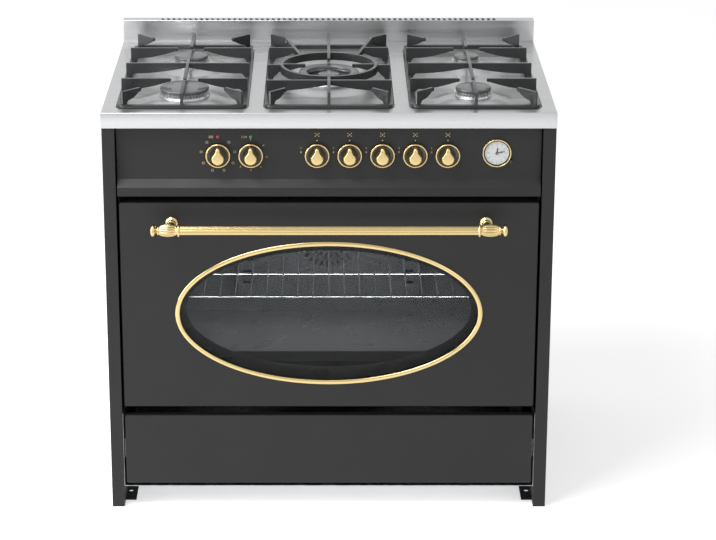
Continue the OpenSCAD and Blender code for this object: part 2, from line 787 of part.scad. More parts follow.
// One cast end, turned about the bar's line: flange, pleated barrel, neck and end ball
barrel_r = 11.7;
module handle_end() {
    x0 = bar_half;
    translate([x0, 0, 0]) rotate([90, 0, 90]) {
        rotate_extrude() polygon(concat(
            [[0, 0], [13.5, 0], [13.5, 4.4], [11.5, 5.8], [10, 6.4]],
            [[9.4, 41], [10.8, 42], [10.8, 44], [6.2, 45.5]],
            [for (i = [0:10]) let (a = 28 + 15.2 * i) [finial_r * sin(a), end_l - 7 - 7 * cos(a)]]
        ));
        intersection() {
            rotate_extrude() polygon(concat([[0, 6]],
                [for (i = [0:8]) [9.6 + (barrel_r + 0.6 - 9.6) * sin(22.5 * i), 6 + 36 * i / 8]],
                [[0, 42]]));
            linear_extrude(60) polygon([
                for (i = [0:11], s = [0:5])
                    (barrel_r - 1.8 + 2.4 * sin(s * 30)) * [cos((i + s / 6) * 30), sin((i + s / 6) * 30)]
            ]);
        }
    }
    // Post and rosette that meet the door
    translate([post_x, 0, 0]) rotate([-90, 0, 0]) {
        cylinder(r = 6.5, h = handle_out - 1);
        rotate_extrude() polygon([[0, handle_out - 14], [6, handle_out - 14], [8, handle_out - 10],
            [7.2, handle_out - 8], [9, handle_out - 5.5], [12, handle_out - 4], [12, handle_out],
            [0, handle_out]]);
    }
}
module handle_ends() color(brass_tone) unit() at_bar() both() handle_end();

// Hinge brackets: cheeks beside each lug, the pin through it and the strap up the liner
module door_hinges() color(steel) unit() for (sx = [-1, 1]) {
    rear = door_t - sheet_t;
    for (s = [-1, 1]) {
        near = sx * hinge_x + (s > 0 ? 7.5 : -10.5);
        along_x(near, near + 3) {
            translate([pivot_y, pivot_z]) circle(7.5);
            polygon([[pivot_y - 2, pivot_z - 6], [rear, pivot_z - 6], [rear, pivot_z + 30],
                [sight_y + 4, pivot_z + 30], [sight_y + 4, pivot_z + 10], [pivot_y - 2, pivot_z + 6]]);
        }
    }
    rod_x(pivot_y, pivot_z, pin_r, sx * hinge_x - 10.5, sx * hinge_x + 10.5);
    block([sx * hinge_x - 10.5, rear - 2.5, pivot_z + 12], [sx * hinge_x + 10.5, rear, pivot_z + 140]);
}

// Drawer

// Folded front, left bare
front_t = 18;
module drawer_front() color(paint) unit() {
    centre = toe_gap + drawer_h / 2;
    upright(0, sheet_t) translate([0, centre]) rounded(2 * face_x, drawer_h, 3);
    upright(0, front_t) translate([0, centre]) frame_outline(2 * face_x, drawer_h, 3, sheet_t);
    upright(front_t - sheet_t, sheet_t) translate([0, centre])
        frame_outline(2 * face_x, drawer_h, 3, 20);
}

// Steel box with the runners on its sides
slide_y = 30;
slide_w = 13;
slide_h = 40;
slide_z = base_z + 56;
box_x = bay_x - 21;
box_z = [base_z + 18, drawer_top - 22];
module drawer_box() color(steel) unit() {
    t = sheet_t;
    difference() {
        block([-box_x, front_t, box_z[0]], [box_x, front_t + drawer_d, box_z[1]]);
        block([-box_x + t, front_t + t, box_z[0] + t], [box_x - t, front_t + drawer_d - t, box_z[1] + 1]);
    }
    both() difference() {
        block([box_x - weld, slide_y, slide_z + t + loose],
            [bay_x - 2 * t - loose, front_t + drawer_d - 10, slide_z + slide_h - t - loose]);
        block([box_x + t, slide_y - 1, slide_z + 2 * t + loose],
            [bay_x, front_t + drawer_d, slide_z + slide_h - 2 * t - loose]);
    }
}

// Fixed slides on the walls of the drawer bay, open towards the drawer
module drawer_slides() color(chrome_tone) unit() both() difference() {
    t = sheet_t;
    x1 = bay_x - t;
    block([x1 - slide_w, slide_y, slide_z], [x1, slide_y + drawer_d + 10, slide_z + slide_h]);
    block([x1 - slide_w - 1, slide_y - 1, slide_z + t],
        [x1 - t, slide_y + drawer_d + 11, slide_z + slide_h - t]);
}

// Controls

// Half axes and heights here are in the panel's local frame, Z out of its face
dish_r = knob_d / 2 - 3;
grip_h = 19;
module grip_outline() {
    translate([0, -4]) circle(13);
    polygon([[-12.4, -8], [-12.6, -1], [-4.4, 12], [-3.8, 16], [3.8, 16], [4.4, 12], [12.6, -1], [12.4, -8]]);
    translate([0, 15.5]) circle(4);
}
module knob_solid() translate([0, 0, knob_gap]) {
    rotate_extrude() polygon(concat(
        [[0, 0], [dish_r + 2, 0]],
        [for (i = [0:5]) [dish_r + 1.2 + 1.8 * cos(30 * i - 30), 5.5 + 1.8 * sin(30 * i - 30)]],
        [[dish_r - 2, 3.2], [8, 2.4], [0, 2.4]]
    ));
    intersection() {
        linear_extrude(grip_h) grip_outline();
        rotate_extrude() polygon(concat([[0, 0], [20, 0]],
            [for (i = [0:6]) [20 * cos(15 * i), grip_h - 7 + 7 * sin(15 * i)]]));
    }
}

// Gas knob: bored for the tap's spring-loaded stem
bore_depth = 15.8;
module gas_knob(x) color(brass_tone) unit() on_panel(x, knob_z) difference() {
    knob_solid();
    translate([0, 0, -1]) cylinder(r = stem_r + fit, h = bore_depth + 1);
}
module tap_stem(x) color(steel) unit() on_panel(x, knob_z)
    translate([0, 0, -tap_depth + knob_push + 1])
        cylinder(r = stem_r, h = tap_depth + bore_depth - knob_push - 1.3);

// Oven knob: one piece with the spindle that turns in its switch
module oven_knob(x) color(brass_tone) unit() on_panel(x, knob_z) {
    knob_solid();
    translate([0, 0, -22]) cylinder(r = stem_r, h = 24 + knob_gap);
}
module oven_switches() color("#d8d4c8") unit() for (x = [function_x, thermostat_x])
    on_panel(x, knob_z) translate([0, 0, -sheet_t]) difference() {
        union() {
            translate([-15, -20, -28]) cube([30, 40, 22]);
            translate([0, 0, -8]) cylinder(r = 11, h = 8);
            for (i = [-1:1]) translate([i * 8 - 2.5, -16, -37]) cube([5, 0.8, 10]);
        }
        translate([0, 0, -22]) cylinder(r = stem_r + fit, h = 23);
    }

// Lamps: flange behind the panel and a domed lens through it
module indicator_lamps() for (x = [function_x, thermostat_x])
    color(x == function_x ? "#c8201c" : "#28a03c") unit() on_panel(x, lamp_z) rotate_extrude()
        polygon(concat([[0, -18], [lamp_r, -18], [lamp_r, -4], [lamp_r + 1.6, -4],
            [lamp_r + 1.6, -sheet_t], [lamp_r, -sheet_t]],
            [for (i = [0:5]) [lamp_r * cos(18 * i), 0.6 + 1.8 * sin(18 * i)]]));

// Clock: can through the panel, bezel, dial and the post that carries the hands
clock_can_r = clock_d / 2 - 3.75;
post_r = 1;
dial_h = 1.6;
glass_h = 4.2;
module clock_case() color(brass_tone) unit() on_panel(clock_x, clock_z) {
    r = clock_d / 2;
    rotate_extrude() polygon([[0, -30], [clock_can_r, -30], [clock_can_r, 0], [r, 0], [r, 3],
        [r - 0.5, 4.8], [r - 1.2, 6], [r - 2.3, 6.4], [r - 2.6, glass_h], [r - 3.4, glass_h],
        [r - 4.4, dial_h], [0, dial_h]]);
    cylinder(r = post_r, h = glass_h - 0.3);
}
module clock_glass() color("#e4eef2", 0.4) unit() on_panel(clock_x, clock_z) rotate_extrude() {
    r = clock_d / 2 - 2.8;
    polygon(concat([[0, glass_h], [r, glass_h], [r, glass_h + 0.8]],
        [for (i = [1:5]) [r * cos(18 * i), glass_h + 0.8 + 1.4 * sin(18 * i)]]));
}
module hand(length, width, h, angle) unit() on_panel(clock_x, clock_z) rotate(-angle)
    translate([0, 0, h]) linear_extrude(0.5) difference() {
        union() {
            circle(2.3);
            polygon([[-width / 2, -4], [width / 2, -4], [width, length * 0.6], [0, length],
                [-width, length * 0.6]]);
        }
        circle(post_r + fit);
    }
minutes = 12.5;
module hour_hand() color("#202020") hand(12.5, 1.1, 2, minutes / 2);
module minute_hand() color("#202020") hand(18.5, 0.8, 3, minutes * 6);
setting_r = 1.5;
module clock_knob() color("#1c1c1e") unit() on_panel(setting_x, setting_z) {
    translate([0, 0, -9]) cylinder(r = setting_r, h = 12);
    translate([0, 0, loose]) difference() {
        rotate_extrude() polygon([[0, 0], [3.4, 0], [3.5, 0.6], [3.3, 5.6], [2.6, 6.6], [0, 7]]);
        for (i = [0:9]) rotate(36 * i) translate([3.7, 0, -1]) cylinder(r = 0.5, h = 9);
    }
}

// Gas rail: feed pipe along the panel, five taps on it and the pipe to the rear
rail_r = 8;
rail_z = knob_z - 6;
nut_l = 10;
// Aluminium tubes from the top of each tap to its burner's cup
tube_r = 4;
tube_y = panel_back + 34;
tube_z = seat_z - sheet_t - 14;
burner_of_knob = [1, 0, 4, 2, 3];
module burner_tubes() for (k = [0:4]) {
    x = gas_knob_x[k];
    b = burners[burner_of_knob[k]];
    turn_z = tube_z - 12 - 9 * (k % 3);
    turn_y = tube_y + 12 + 10 * abs(k - 2);
    start = [x, tube_y, knob_z + 14 + loose];
    side = b[0] - sign(b[0] - x) * (burner_hole(b) + 18 + 4 * (k % 3));
    pipe(bend([start, [x, tube_y, turn_z], [x, turn_y, turn_z], [side, turn_y, turn_z],
        [side, b[1], turn_z], [side, b[1], tube_z],
        [b[0] - sign(b[0] - x) * (burner_hole(b) + 3 + loose), b[1], tube_z]], 5), tube_r);
}
module gas_rail() color(alloy) unit() {
    rod_x(rail_y, rail_z, rail_r, gas_knob_x[0] - 30, feed_x + 6);
    rod_y(feed_x, rail_z, rail_r - 1, rail_y, back_y - nut_l);
    for (x = gas_knob_x) difference() {
        union() {
            rod_y(x, knob_z, 11, panel_back, panel_back + 14);
            block([x - 13, panel_back + 12, knob_z - 15], [x + 13, rail_y - 2, knob_z + 14]);
        }
        rod_y(x, knob_z, stem_r + fit, panel_back - 1, panel_set + tap_depth + 1);
    }
    burner_tubes();
}

// Rear gas inlet: nut inside the back panel and the thread that the supply screws onto
gas_x = feed_x;
gas_z = rail_z;
gas_r = 10.48;
shoulder_r = 12;
gas_end = body_d - 2;
module gas_inlet() color("#c9b25c") unit() difference() {
    union() {
        rod_y(gas_x, gas_z, gas_r, back_y, gas_end);
        rod_y(gas_x, gas_z, shoulder_r, back_y - 1, back_y + sheet_t + 1);
        translate([gas_x, back_y - nut_l, gas_z]) rotate([-90, 0, 0]) cylinder(r = 15, h = nut_l, $fn = 6);
    }
    rod_y(gas_x, gas_z, rail_r - 2, back_y - nut_l - 1, gas_end + 1);
}

// Rear terminal box with the cable gland under it
terminal_x = 104 - bay_x;
terminal_z = base_z + 176;
terminal_w = 100;
terminal_h = 70;
terminal_t = 2;
gland_y = back_y + sheet_t + 6.9;
gland_r = 6.5;
gland_l = 14;
lead_r = 4.3;
module terminal_box() color("#2b2c2e") unit() translate([terminal_x, 0, terminal_z]) difference() {
    y0 = back_y + sheet_t;
    w = terminal_w / 2;
    h = terminal_h / 2;
    union() {
        block([-w, y0, -h], [w, body_d - 1, h]);
        translate([0, gland_y, -h - gland_l]) cylinder(r = gland_r, h = gland_l + 1);
    }
    block([-w + terminal_t, y0 - 1, -h + terminal_t], [w - terminal_t, body_d - 1 - terminal_t, h - terminal_t]);
    translate([0, gland_y, -h - gland_l - 1]) cylinder(r = lead_r, h = gland_l + terminal_t + 2);
}

// Hob

// Foot of an electrode beside a burner, on its left or right
function electrode(b, s) = let (r = b[2] / 2 + 6, a = s > 0 ? 35 : 145)
    [b[0] + r * cos(a), b[1] + r * sin(a), 0];

// Cup under the pan that holds the jet and the crown's spigot
cup_h = 32;
cup_wall = 3;
module burner_cups() color(alloy) unit() for (b = burners) {
    r = burner_hole(b);
    translate([b[0], b[1], seat_z - sheet_t]) rotate_extrude() polygon([
        [0, -cup_h], [r * 0.6, -cup_h], [r + cup_wall, 8 - cup_h], [r + cup_wall, -cup_wall],
        [r + 8, -cup_wall], [r + 8, 0], [r, 0], [r, 12 - cup_h], [r * 0.5, 6 - cup_h], [0, 6 - cup_h]
    ]);
}

// Flame ring: a toothed wall with a slot for each flame
module flame_ring(r, slots, h) linear_extrude(h) difference() {
    polygon([for (i = [0:slots - 1], c = [[0, 0], [0, 1], [0.72, 1], [0.72, 0]])
        (r - 2.4 * (1 - c[1])) * [cos((i + c[0]) * 360 / slots), sin((i + c[0]) * 360 / slots)]]);
    circle(r - 7);
}

// Crown of a single burner: spigot, flared base and flame ring
crown_base = 4;
module crown(d) {
    r = d / 2;
    hole = d * 0.3;
    rotate_extrude() polygon([[hole - 4, -14], [hole, -14], [hole, 0], [r + 1, 0], [r + 1.8, 1.4],
        [r - 1.4, 3], [r - 2.2, crown_base + 1], [r - 7, crown_base + 1], [r - 7.5, crown_base - 0.6],
        [hole - 4, 2.4]]);
    translate([0, 0, crown_base]) flame_ring(r - 1, round(d * 0.44), crown_h - crown_base);
}

// Crown of the wok burner: outer ring, gallery and inner ring
wok_in_d = 46;
wok_inner_h = crown_h - 5;
gallery_h = 3.6;
module wok_crown() {
    crown(wok_d);
    rotate_extrude() polygon([[8, 0.6], [wok_d * 0.3 - 2, 0.6], [wok_d * 0.3 - 2, 2],
        [wok_in_d / 2 + 1, 2.6], [wok_in_d / 2 + 1, gallery_h], [8, gallery_h]]);
    translate([0, 0, gallery_h - weld]) flame_ring(wok_in_d / 2, 16, wok_inner_h - gallery_h + weld);
}
module burner_crowns() color(alloy) unit() {
    for (k = [0:3]) translate([burners[k][0], burners[k][1], seat_z]) crown(burners[k][2]);
    translate([burners[4][0], burners[4][1], seat_z]) wok_crown();
}

// Enamelled caps: domed discs with a rim that drops inside the crown
module cap(d) {
    r = d / 2;
    rotate_extrude() polygon(concat(
        [[0, 0], [r - 10.5, 0], [r - 10.5, -4], [r - 8.4, -4], [r - 8.4, 0], [r - 0.8, 0]],
        [for (i = [0:4]) [r - 2.4 + 2.4 * cos(22.5 * i), 2 + (cap_h - 3) * sin(22.5 * i)]],
        [[r * 0.6, cap_h - 0.4], [r * 0.3, cap_h], [0, cap_h]]
    ));
}
module ring_cap(d, bore) {
    r = d / 2;
    rotate_extrude() polygon(concat(
        [[bore, 0], [r - 0.8, 0]],
        [for (i = [0:4]) [r - 2.4 + 2.4 * cos(22.5 * i), 2 + (cap_h - 3) * sin(22.5 * i)]],
        [[(r + bore) / 2, cap_h - 0.4], [bore + 2, cap_h - 2], [bore, 2]]
    ));
}
module burner_caps() color("#2c2d2f") unit() {
    for (k = [0:3]) translate([burners[k][0], burners[k][1], seat_z + crown_h]) cap(burners[k][2]);
    translate([burners[4][0], burners[4][1], seat_z]) {
        translate([0, 0, crown_h]) ring_cap(wok_d, wok_d / 2 - 18);
        translate([0, 0, wok_inner_h]) cap(wok_in_d);
    }
}

// Igniter on the left of each burner, flame sensor on the right
module burner_electrodes() color("#efe9dc") unit() for (b = burners) {
    translate(electrode(b, -1) + [0, 0, seat_z - 12]) rotate_extrude()
        polygon([[0, 0], [2.5, 0], [2.5, 17], [0.8, 19], [0.8, 23], [0, 23]]);
    translate(electrode(b, 1) + [0, 0, seat_z - 12]) rotate_extrude()
        polygon([[0, 0], [2.5, 0], [2.5, 13], [1.6, 14], [1.6, 21], [0, 22.4]]);
}

// Pan supports

support_z = worktop_h + support_h;
support_front = pan_front + 5;
support_rear = pan_rear - 8;
support_mid = (support_front + support_rear) / 2;
rail_w = 9;
rail_top = worktop_h + 6.5;
rail_deep = 8;
rail_bottom = rail_top - rail_deep;
blade_out = 22;
blade_tip = 7;
leg_w = 12;
// A finger that reaches over a burner's cap is no deeper than this
over_cap = support_z - cap_top - 2;

// Blade seen from the side: x runs from the outer end to the tip, the top edge is at 0
function arch(x0, x1, z0, z1, n = 6) = [for (i = [0:n]) let (u = i / n)
    [x0 + (x1 - x0) * u, z0 + (z1 - z0) * sin(90 * u)]];
module blade_side(length, deep = blade_out, tip = blade_tip) polygon(concat(
    [[0, 0], [length - 2.5, 0], [length - 0.8, -0.8], [length, -2.5], [length, 2.5 - tip],
        [length - 2.5, -tip]],
    arch(length - 6, leg_w + 4, -tip, -deep),
    [[leg_w, -deep - 4], [leg_w - 2, rail_bottom + 3 - support_z], [0, rail_bottom + 3 - support_z]]
));

// Finger from an outer end at (x, y), heading at an angle in plan
module finger(x, y, angle, length, deep = blade_out, tip = blade_tip)
    translate([x, y, support_z]) rotate(angle) translate([0, blade_t / 2, 0])
        rotate([90, 0, 0]) linear_extrude(blade_t) blade_side(length, deep, tip);

// Blade with both ends free, thicker where it crosses another
module free_blade(x, y0, y1) translate([x - blade_t / 2, 0, support_z]) rotate([90, 0, 90])
    linear_extrude(blade_t) polygon([[y0, -2.5], [y0 + 2.5, 0], [y1 - 2.5, 0], [y1, -2.5],
        [y1, 2.5 - blade_tip], [y1 - 2.5, -blade_tip], [(y0 + y1) / 2 + 20, -blade_tip - 5],
        [(y0 + y1) / 2 - 20, -blade_tip - 5], [y0 + 2.5, -blade_tip], [y0, 2.5 - blade_tip]]);

// Rails and feet common to the three supports
foot_r = 4.5;
module support_frame(w) {
    d = support_rear - support_front;
    translate([0, support_mid, rail_bottom]) linear_extrude(rail_deep)
        frame_outline(w, d, 18, rail_w);
    for (sx = [-1, 1], sy = [-1, 1])
        translate([sx * (w / 2 - 18), support_mid + sy * (d / 2 - 7), deck_z + loose])
            cylinder(r = foot_r, h = rail_top - deck_z - 2);
}

// Corner fingers: outer end by the corner, heading inwards in plan
module corner_fingers(w, ys, length, angle) for (sx = [-1, 1], s = ys) {
    y = s > 0 ? support_rear - 9 : support_front + 9;
    heading = s > 0 ? -90 + sx * -(90 - angle) : 90 + sx * (90 - angle);
    finger(sx * (w / 2 - 9), y, heading, length, 20, 8);
}

side_support_w = pan_w - 6;
row_front = front_row + 7;
row_mid = pan_mid_y - 12;
row_rear = rear_row + 1;
module side_support(x) translate([x, 0, 0]) {
    w = side_support_w;
    gap = 27;
    edge = w / 2 - 1;
    support_frame(w);
    for (sx = [0, 180]) {
        for (y = [row_front, row_rear]) finger(sx == 0 ? -edge : edge, y, sx, edge - gap);
        finger(sx == 0 ? -edge : edge, row_mid, sx, edge + 8, blade_out, blade_tip + 2);
    }
    finger(0, support_front + 1, 90, row_front - 11 - support_front, over_cap);
    finger(0, support_rear - 1, -90, support_rear - 1 - row_rear - 14);
    free_blade(0, row_front + 3, row_rear - 24);
    corner_fingers(w, [-1, 1], 50, 45);
}
module pan_support_left() color(iron) unit() side_support(-side_pan_x);
module pan_support_right() color(iron) unit() side_support(side_pan_x);

// Centre support: rows at the front and beside the wok ring, kinked rear corner fingers
ring_h = 16;
module pan_support_centre() color(iron) unit() {
    w = centre_pan_w - 6;
    edge = w / 2 - 1;
    ring_r = wok_ring_d / 2;
    support_frame(w);
    // Ring
    translate([0, wok_y, support_z - ring_h]) rotate_extrude()
        translate([ring_r - blade_t, 0]) square([blade_t, ring_h]);
    // Fingers inside the ring
    for (a = [0:90:270]) translate([0, wok_y, support_z]) rotate(a) translate([0, blade_t / 2, 0])
        rotate([90, 0, 0]) linear_extrude(blade_t) polygon([[ring_r - 3, 0], [50, 0], [48, -2],
            [48, -5], [50, -7], [62, -8], [76, -12], [ring_r - 3, -ring_h]]);
    for (sx = [0, 180]) {
        start = sx == 0 ? -edge : edge;
        finger(start, front_row - 6, sx, edge + 8, blade_out, blade_tip + 2);
        finger(start, wok_y - 6, sx, edge - ring_r + 3, blade_out, ring_h - 1);
        finger(start, rear_row + 4, sx, edge - 70, blade_out, ring_h - 3);
    }
    // Kinked rear corner fingers: corner, kink, ring
    for (sx = [-1, 1]) {
        a = [sx * (w / 2 - 4), support_rear - 9];
        b = [sx * (w / 2 - 35), support_rear - 36];
        c = [sx * (ring_r - 40), wok_y + ring_r - 19];
        finger(a[0], a[1], atan2(b[1] - a[1], b[0] - a[0]), norm(b - a) + 2, 22, 18);
        v = c - b;
        translate([b[0], b[1], support_z]) rotate(atan2(v[1], v[0])) translate([0, blade_t / 2, 0])
            rotate([90, 0, 0]) linear_extrude(blade_t)
                polygon([[-2, 0], [norm(v), 0], [norm(v), -12], [30, -14], [-2, -19]]);
    }
    finger(0, support_rear - 1, -90, support_rear - wok_y - ring_r + 3, blade_out, 14);
    finger(0, support_front + 1, 90, wok_y - ring_r - support_front + 3, blade_out, 13);
    corner_fingers(w, [-1], 46, 45);
}

// Numbered controls
module gas_knob_1() gas_knob(gas_knob_x[0]);
module gas_knob_2() gas_knob(gas_knob_x[1]);
module gas_knob_3() gas_knob(gas_knob_x[2]);
module gas_knob_4() gas_knob(gas_knob_x[3]);
module gas_knob_5() gas_knob(gas_knob_x[4]);
module tap_stem_1() tap_stem(gas_knob_x[0]);
module tap_stem_2() tap_stem(gas_knob_x[1]);
module tap_stem_3() tap_stem(gas_knob_x[2]);
module tap_stem_4() tap_stem(gas_knob_x[3]);
module tap_stem_5() tap_stem(gas_knob_x[4]);
module function_knob() oven_knob(function_x);
module thermostat_knob() oven_knob(thermostat_x);

side_panel_left();
side_panel_right();
base_panel();
back_panel();
worktop();
upstand();
control_panel();
front_frame();
oven_cavity();
oven_gasket();
insulation();
fan_cover();
fan_motor();
heating_elements();
oven_lamp();
shelf_guides();
gas_rail();
burner_cups();
burner_crowns();
burner_caps();
burner_electrodes();
indicator_lamps();
oven_switches();
clock_case();
clock_glass();
drawer_slides();
gas_inlet();
terminal_box();
screws();
fan_blade();
oven_rack();
oven_tray();
pan_support_left();
pan_support_centre();
pan_support_right();
door_skin();
door_liner();
door_glass_outer();
door_glass_inner();
window_ring();
handle_bar();
handle_ends();
door_hinges();
drawer_front();
drawer_box();
tap_stem_1();
tap_stem_2();
tap_stem_3();
tap_stem_4();
tap_stem_5();
gas_knob_1();
gas_knob_2();
gas_knob_3();
gas_knob_4();
gas_knob_5();
function_knob();
thermostat_knob();
minute_hand();
hour_hand();
clock_knob();
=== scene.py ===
"""Looks of a dual fuel range cooker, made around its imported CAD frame.

Shapes are worked out in millimetres, with the front facing -Y and the floor at Z = 0,
and become metres when a mesh is made. Most places come from the frame's nodes; the pans,
the burners and the worktop's sheet repeat sizes of the CAD source.
"""

import json
import math

import bmesh
import bpy
import numpy as np
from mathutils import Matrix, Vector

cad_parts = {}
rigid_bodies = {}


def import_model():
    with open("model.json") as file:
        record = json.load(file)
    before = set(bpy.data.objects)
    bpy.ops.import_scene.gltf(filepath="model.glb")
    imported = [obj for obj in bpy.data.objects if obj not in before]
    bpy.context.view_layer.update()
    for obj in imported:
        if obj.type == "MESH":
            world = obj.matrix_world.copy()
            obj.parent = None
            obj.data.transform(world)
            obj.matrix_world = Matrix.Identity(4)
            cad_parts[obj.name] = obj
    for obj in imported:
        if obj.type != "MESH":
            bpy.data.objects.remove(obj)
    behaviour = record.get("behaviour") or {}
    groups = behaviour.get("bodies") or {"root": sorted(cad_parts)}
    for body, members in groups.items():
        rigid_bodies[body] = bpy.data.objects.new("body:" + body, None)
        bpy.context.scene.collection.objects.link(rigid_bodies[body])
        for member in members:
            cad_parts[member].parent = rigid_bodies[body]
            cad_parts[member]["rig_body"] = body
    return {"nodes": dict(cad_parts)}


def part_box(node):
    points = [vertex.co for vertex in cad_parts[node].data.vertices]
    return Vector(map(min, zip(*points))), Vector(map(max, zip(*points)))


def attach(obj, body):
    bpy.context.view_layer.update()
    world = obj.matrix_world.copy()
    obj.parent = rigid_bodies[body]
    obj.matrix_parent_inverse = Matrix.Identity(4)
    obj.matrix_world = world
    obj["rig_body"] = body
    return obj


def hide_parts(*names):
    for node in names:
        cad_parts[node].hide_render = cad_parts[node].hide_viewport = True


bl_info = {
    "name": "Range cooker finish",
    "version": (1, 0, 0),
    "blender": (4, 5, 0),
    "location": "View3D > Sidebar > Cooker",
    "description": "Builds the visible pieces and finishes of a dual fuel range cooker",
    "category": "Add Mesh",
}

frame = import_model()
MM = 0.001


def span(node):
    """Lowest and highest corner of a CAD node, in millimetres."""
    low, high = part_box(node)
    return np.array(low) / MM, np.array(high) / MM


def centred(node):
    """Centre and half size of a CAD node's box, in millimetres."""
    low, high = span(node)
    return (low + high) / 2, (high - low) / 2


def middle(node):
    """Centre of a CAD node's box, in millimetres."""
    return centred(node)[0]


# Planes that the pieces are placed by, in millimetres
FRONT_Y = span("door_skin")[0][1]
DECK_Z = 850.0
PANEL_SET = 12.0
PANEL_Y = FRONT_Y + PANEL_SET
PAN_DEPTH = 11.0
BODY_HALF = span("worktop")[1][0]
REAR_Y = span("worktop")[1][1]
PAN_FRONT = 25.0
PAN_BACK = 47.0
UPSTAND_Y = span("upstand")[0][1]
PAN_LENGTH = UPSTAND_Y - FRONT_Y - PAN_FRONT - PAN_BACK
PAN_Y = FRONT_Y + PAN_FRONT + PAN_LENGTH / 2
PANS = ((-291.5, 263.0), (0.0, 260.0), (291.5, 263.0))
PAN_CORNER = 20.0
PAN_WALL = 5.5

# Worktop sheet: its thickness, the lip that is turned down and folded in, and its grid's step
TOP_SHEET = 1.5
LIP_OUT = 2.0
LIP_BEND = 2.0
LIP_Z = 818.0
LIP_HEM = 12.0
TOP_STEP = 5.0

# Burners: X, depth behind the door's face, cap diameter; the last is the wok burner
BURNERS = ((-291.5, 135, 99), (-291.5, 390, 72), (291.5, 135, 72), (291.5, 390, 54), (0, 256.5, 124))
WOK = BURNERS[-1]
BOSS_H = 9.0
BOSS_MARGIN = 12.0
BOSS_RUN = 32.0
SEAT_Z = DECK_Z - PAN_DEPTH + BOSS_H
CROWN_H = 13.0
CAP_H = 7.0
WOK_INNER = 46.0


# Surfaces: a pair of points in millimetres and quads that number them

def quads_of(rows, cols, wrap_rows=False, wrap_cols=True):
    """Quads between neighbouring points of a grid that is numbered row by row."""
    r = np.arange(rows if wrap_rows else rows - 1)[:, None]
    c = np.arange(cols if wrap_cols else cols - 1)[None, :]
    r2, c2 = (r + 1) % rows, (c + 1) % cols
    return np.stack([r * cols + c, r * cols + c2, r2 * cols + c2, r2 * cols + c], -1).reshape(-1, 4)


def surface(points, wrap_rows=False, wrap_cols=True):
    """A grid of points, rows by columns, as one surface."""
    points = np.asarray(points, float)
    rows, cols = points.shape[:2]
    return points.reshape(-1, 3), quads_of(rows, cols, wrap_rows, wrap_cols)


def together(surfaces):
    """Several surfaces as one, their quads numbered on."""
    points, quads, count = [], [], 0
    for p, q in surfaces:
        points.append(p)
        quads.append(q + count)
        count += len(p)
    return np.concatenate(points), np.concatenate(quads)


def moved(shape, x=0.0, y=0.0, z=0.0):
    """A surface shifted in millimetres."""
    return shape[0] + np.array([x, y, z]), shape[1]


def turned(shape, degrees):
    """A surface turned about the Z axis."""
    a = math.radians(degrees)
    turn = np.array([[math.cos(a), math.sin(a), 0], [-math.sin(a), math.cos(a), 0], [0, 0, 1]])
    return shape[0] @ turn, shape[1]


def on_panel(shape, x, z, y=None):
    """Local X across, local Y up and local Z out of a front face at the point (x, z)."""
    p = shape[0]
    depth = PANEL_Y if y is None else y
    return np.stack([p[:, 0] + x, depth - p[:, 2], p[:, 1] + z], 1), shape[1]


def mirrored(shape):
    """A surface mirrored to the other side of the cooker."""
    return shape[0] * np.array([-1.0, 1, 1]), shape[1][:, ::-1]


def around(steps):
    """Angles of a full turn in equal steps."""
    return np.arange(steps) * 2 * math.pi / steps


def arc(centre, radius, start, end, steps=6):
    """Points on a circle between two angles in degrees: centre + radius (cos, sin)."""
    a = np.radians(np.linspace(start, end, steps))
    return np.stack([centre[0] + radius * np.cos(a), centre[1] + radius * np.sin(a)], 1)


def outline(*parts):
    """Points and arcs as one profile."""
    return np.concatenate([np.atleast_2d(np.asarray(p, float)) for p in parts])


def lathe(profile, steps=64, lobes=None):
    """Profile (radius, height) turned about Z: (r cos a, r sin a, h).

    lobes(a, h) is added to the radius, for pleats, teeth and ribs.
    """
    a = around(steps)[None, :]
    r, h = profile[:, :1], profile[:, 1:]
    if lobes is not None:
        r = np.where(r > 0, r + lobes(a, h), 0)
    return surface(np.stack(np.broadcast_arrays(r * np.cos(a), r * np.sin(a), h), -1))


def carried(path, section, up=(0, 0, 1), closed=False):
    """Section (across, up) carried along a path, square to its direction at each point.

    The direction is the difference between neighbouring points, across is direction x up.
    Open ends are closed by a point in the middle of the section.
    """
    path = np.asarray(path, float)
    if closed:
        heading = np.roll(path, -1, 0) - np.roll(path, 1, 0)
    else:
        heading = np.gradient(path, axis=0)
    heading /= np.linalg.norm(heading, axis=1, keepdims=True)
    across = np.cross(heading, np.asarray(up, float))
    across /= np.linalg.norm(across, axis=1, keepdims=True)
    rise = np.cross(across, heading)
    rings = (path[:, None] + section[None, :, :1] * across[:, None]
             + section[None, :, 1:] * rise[:, None])
    if closed:
        return surface(rings, wrap_rows=True)
    ends = rings[[0, -1]].mean(1, keepdims=True)
    first, last = np.broadcast_to(ends, rings[[0, -1]].shape)
    return surface(np.concatenate([first[None], rings, last[None]]))


def disc_section(radius, sides=10):
    """Round section of a tube."""
    a = around(sides)
    return radius * np.stack([np.cos(a), np.sin(a)], 1)


def tube(path, radius, sides=10, closed=False, up=(0, 0, 1)):
    """Round rod along a path."""
    return carried(path, disc_section(radius, sides), up, closed)


def rod(start, end, radius, sides=10):
    """Straight round rod."""
    start, end = np.asarray(start, float), np.asarray(end, float)
    reach = end - start
    up = (0, 0, 1) if abs(reach[2]) < 0.9 * np.linalg.norm(reach) else (1, 0, 0)
    return tube(start + reach * np.linspace(0, 1, 3)[:, None], radius, sides, up=up)


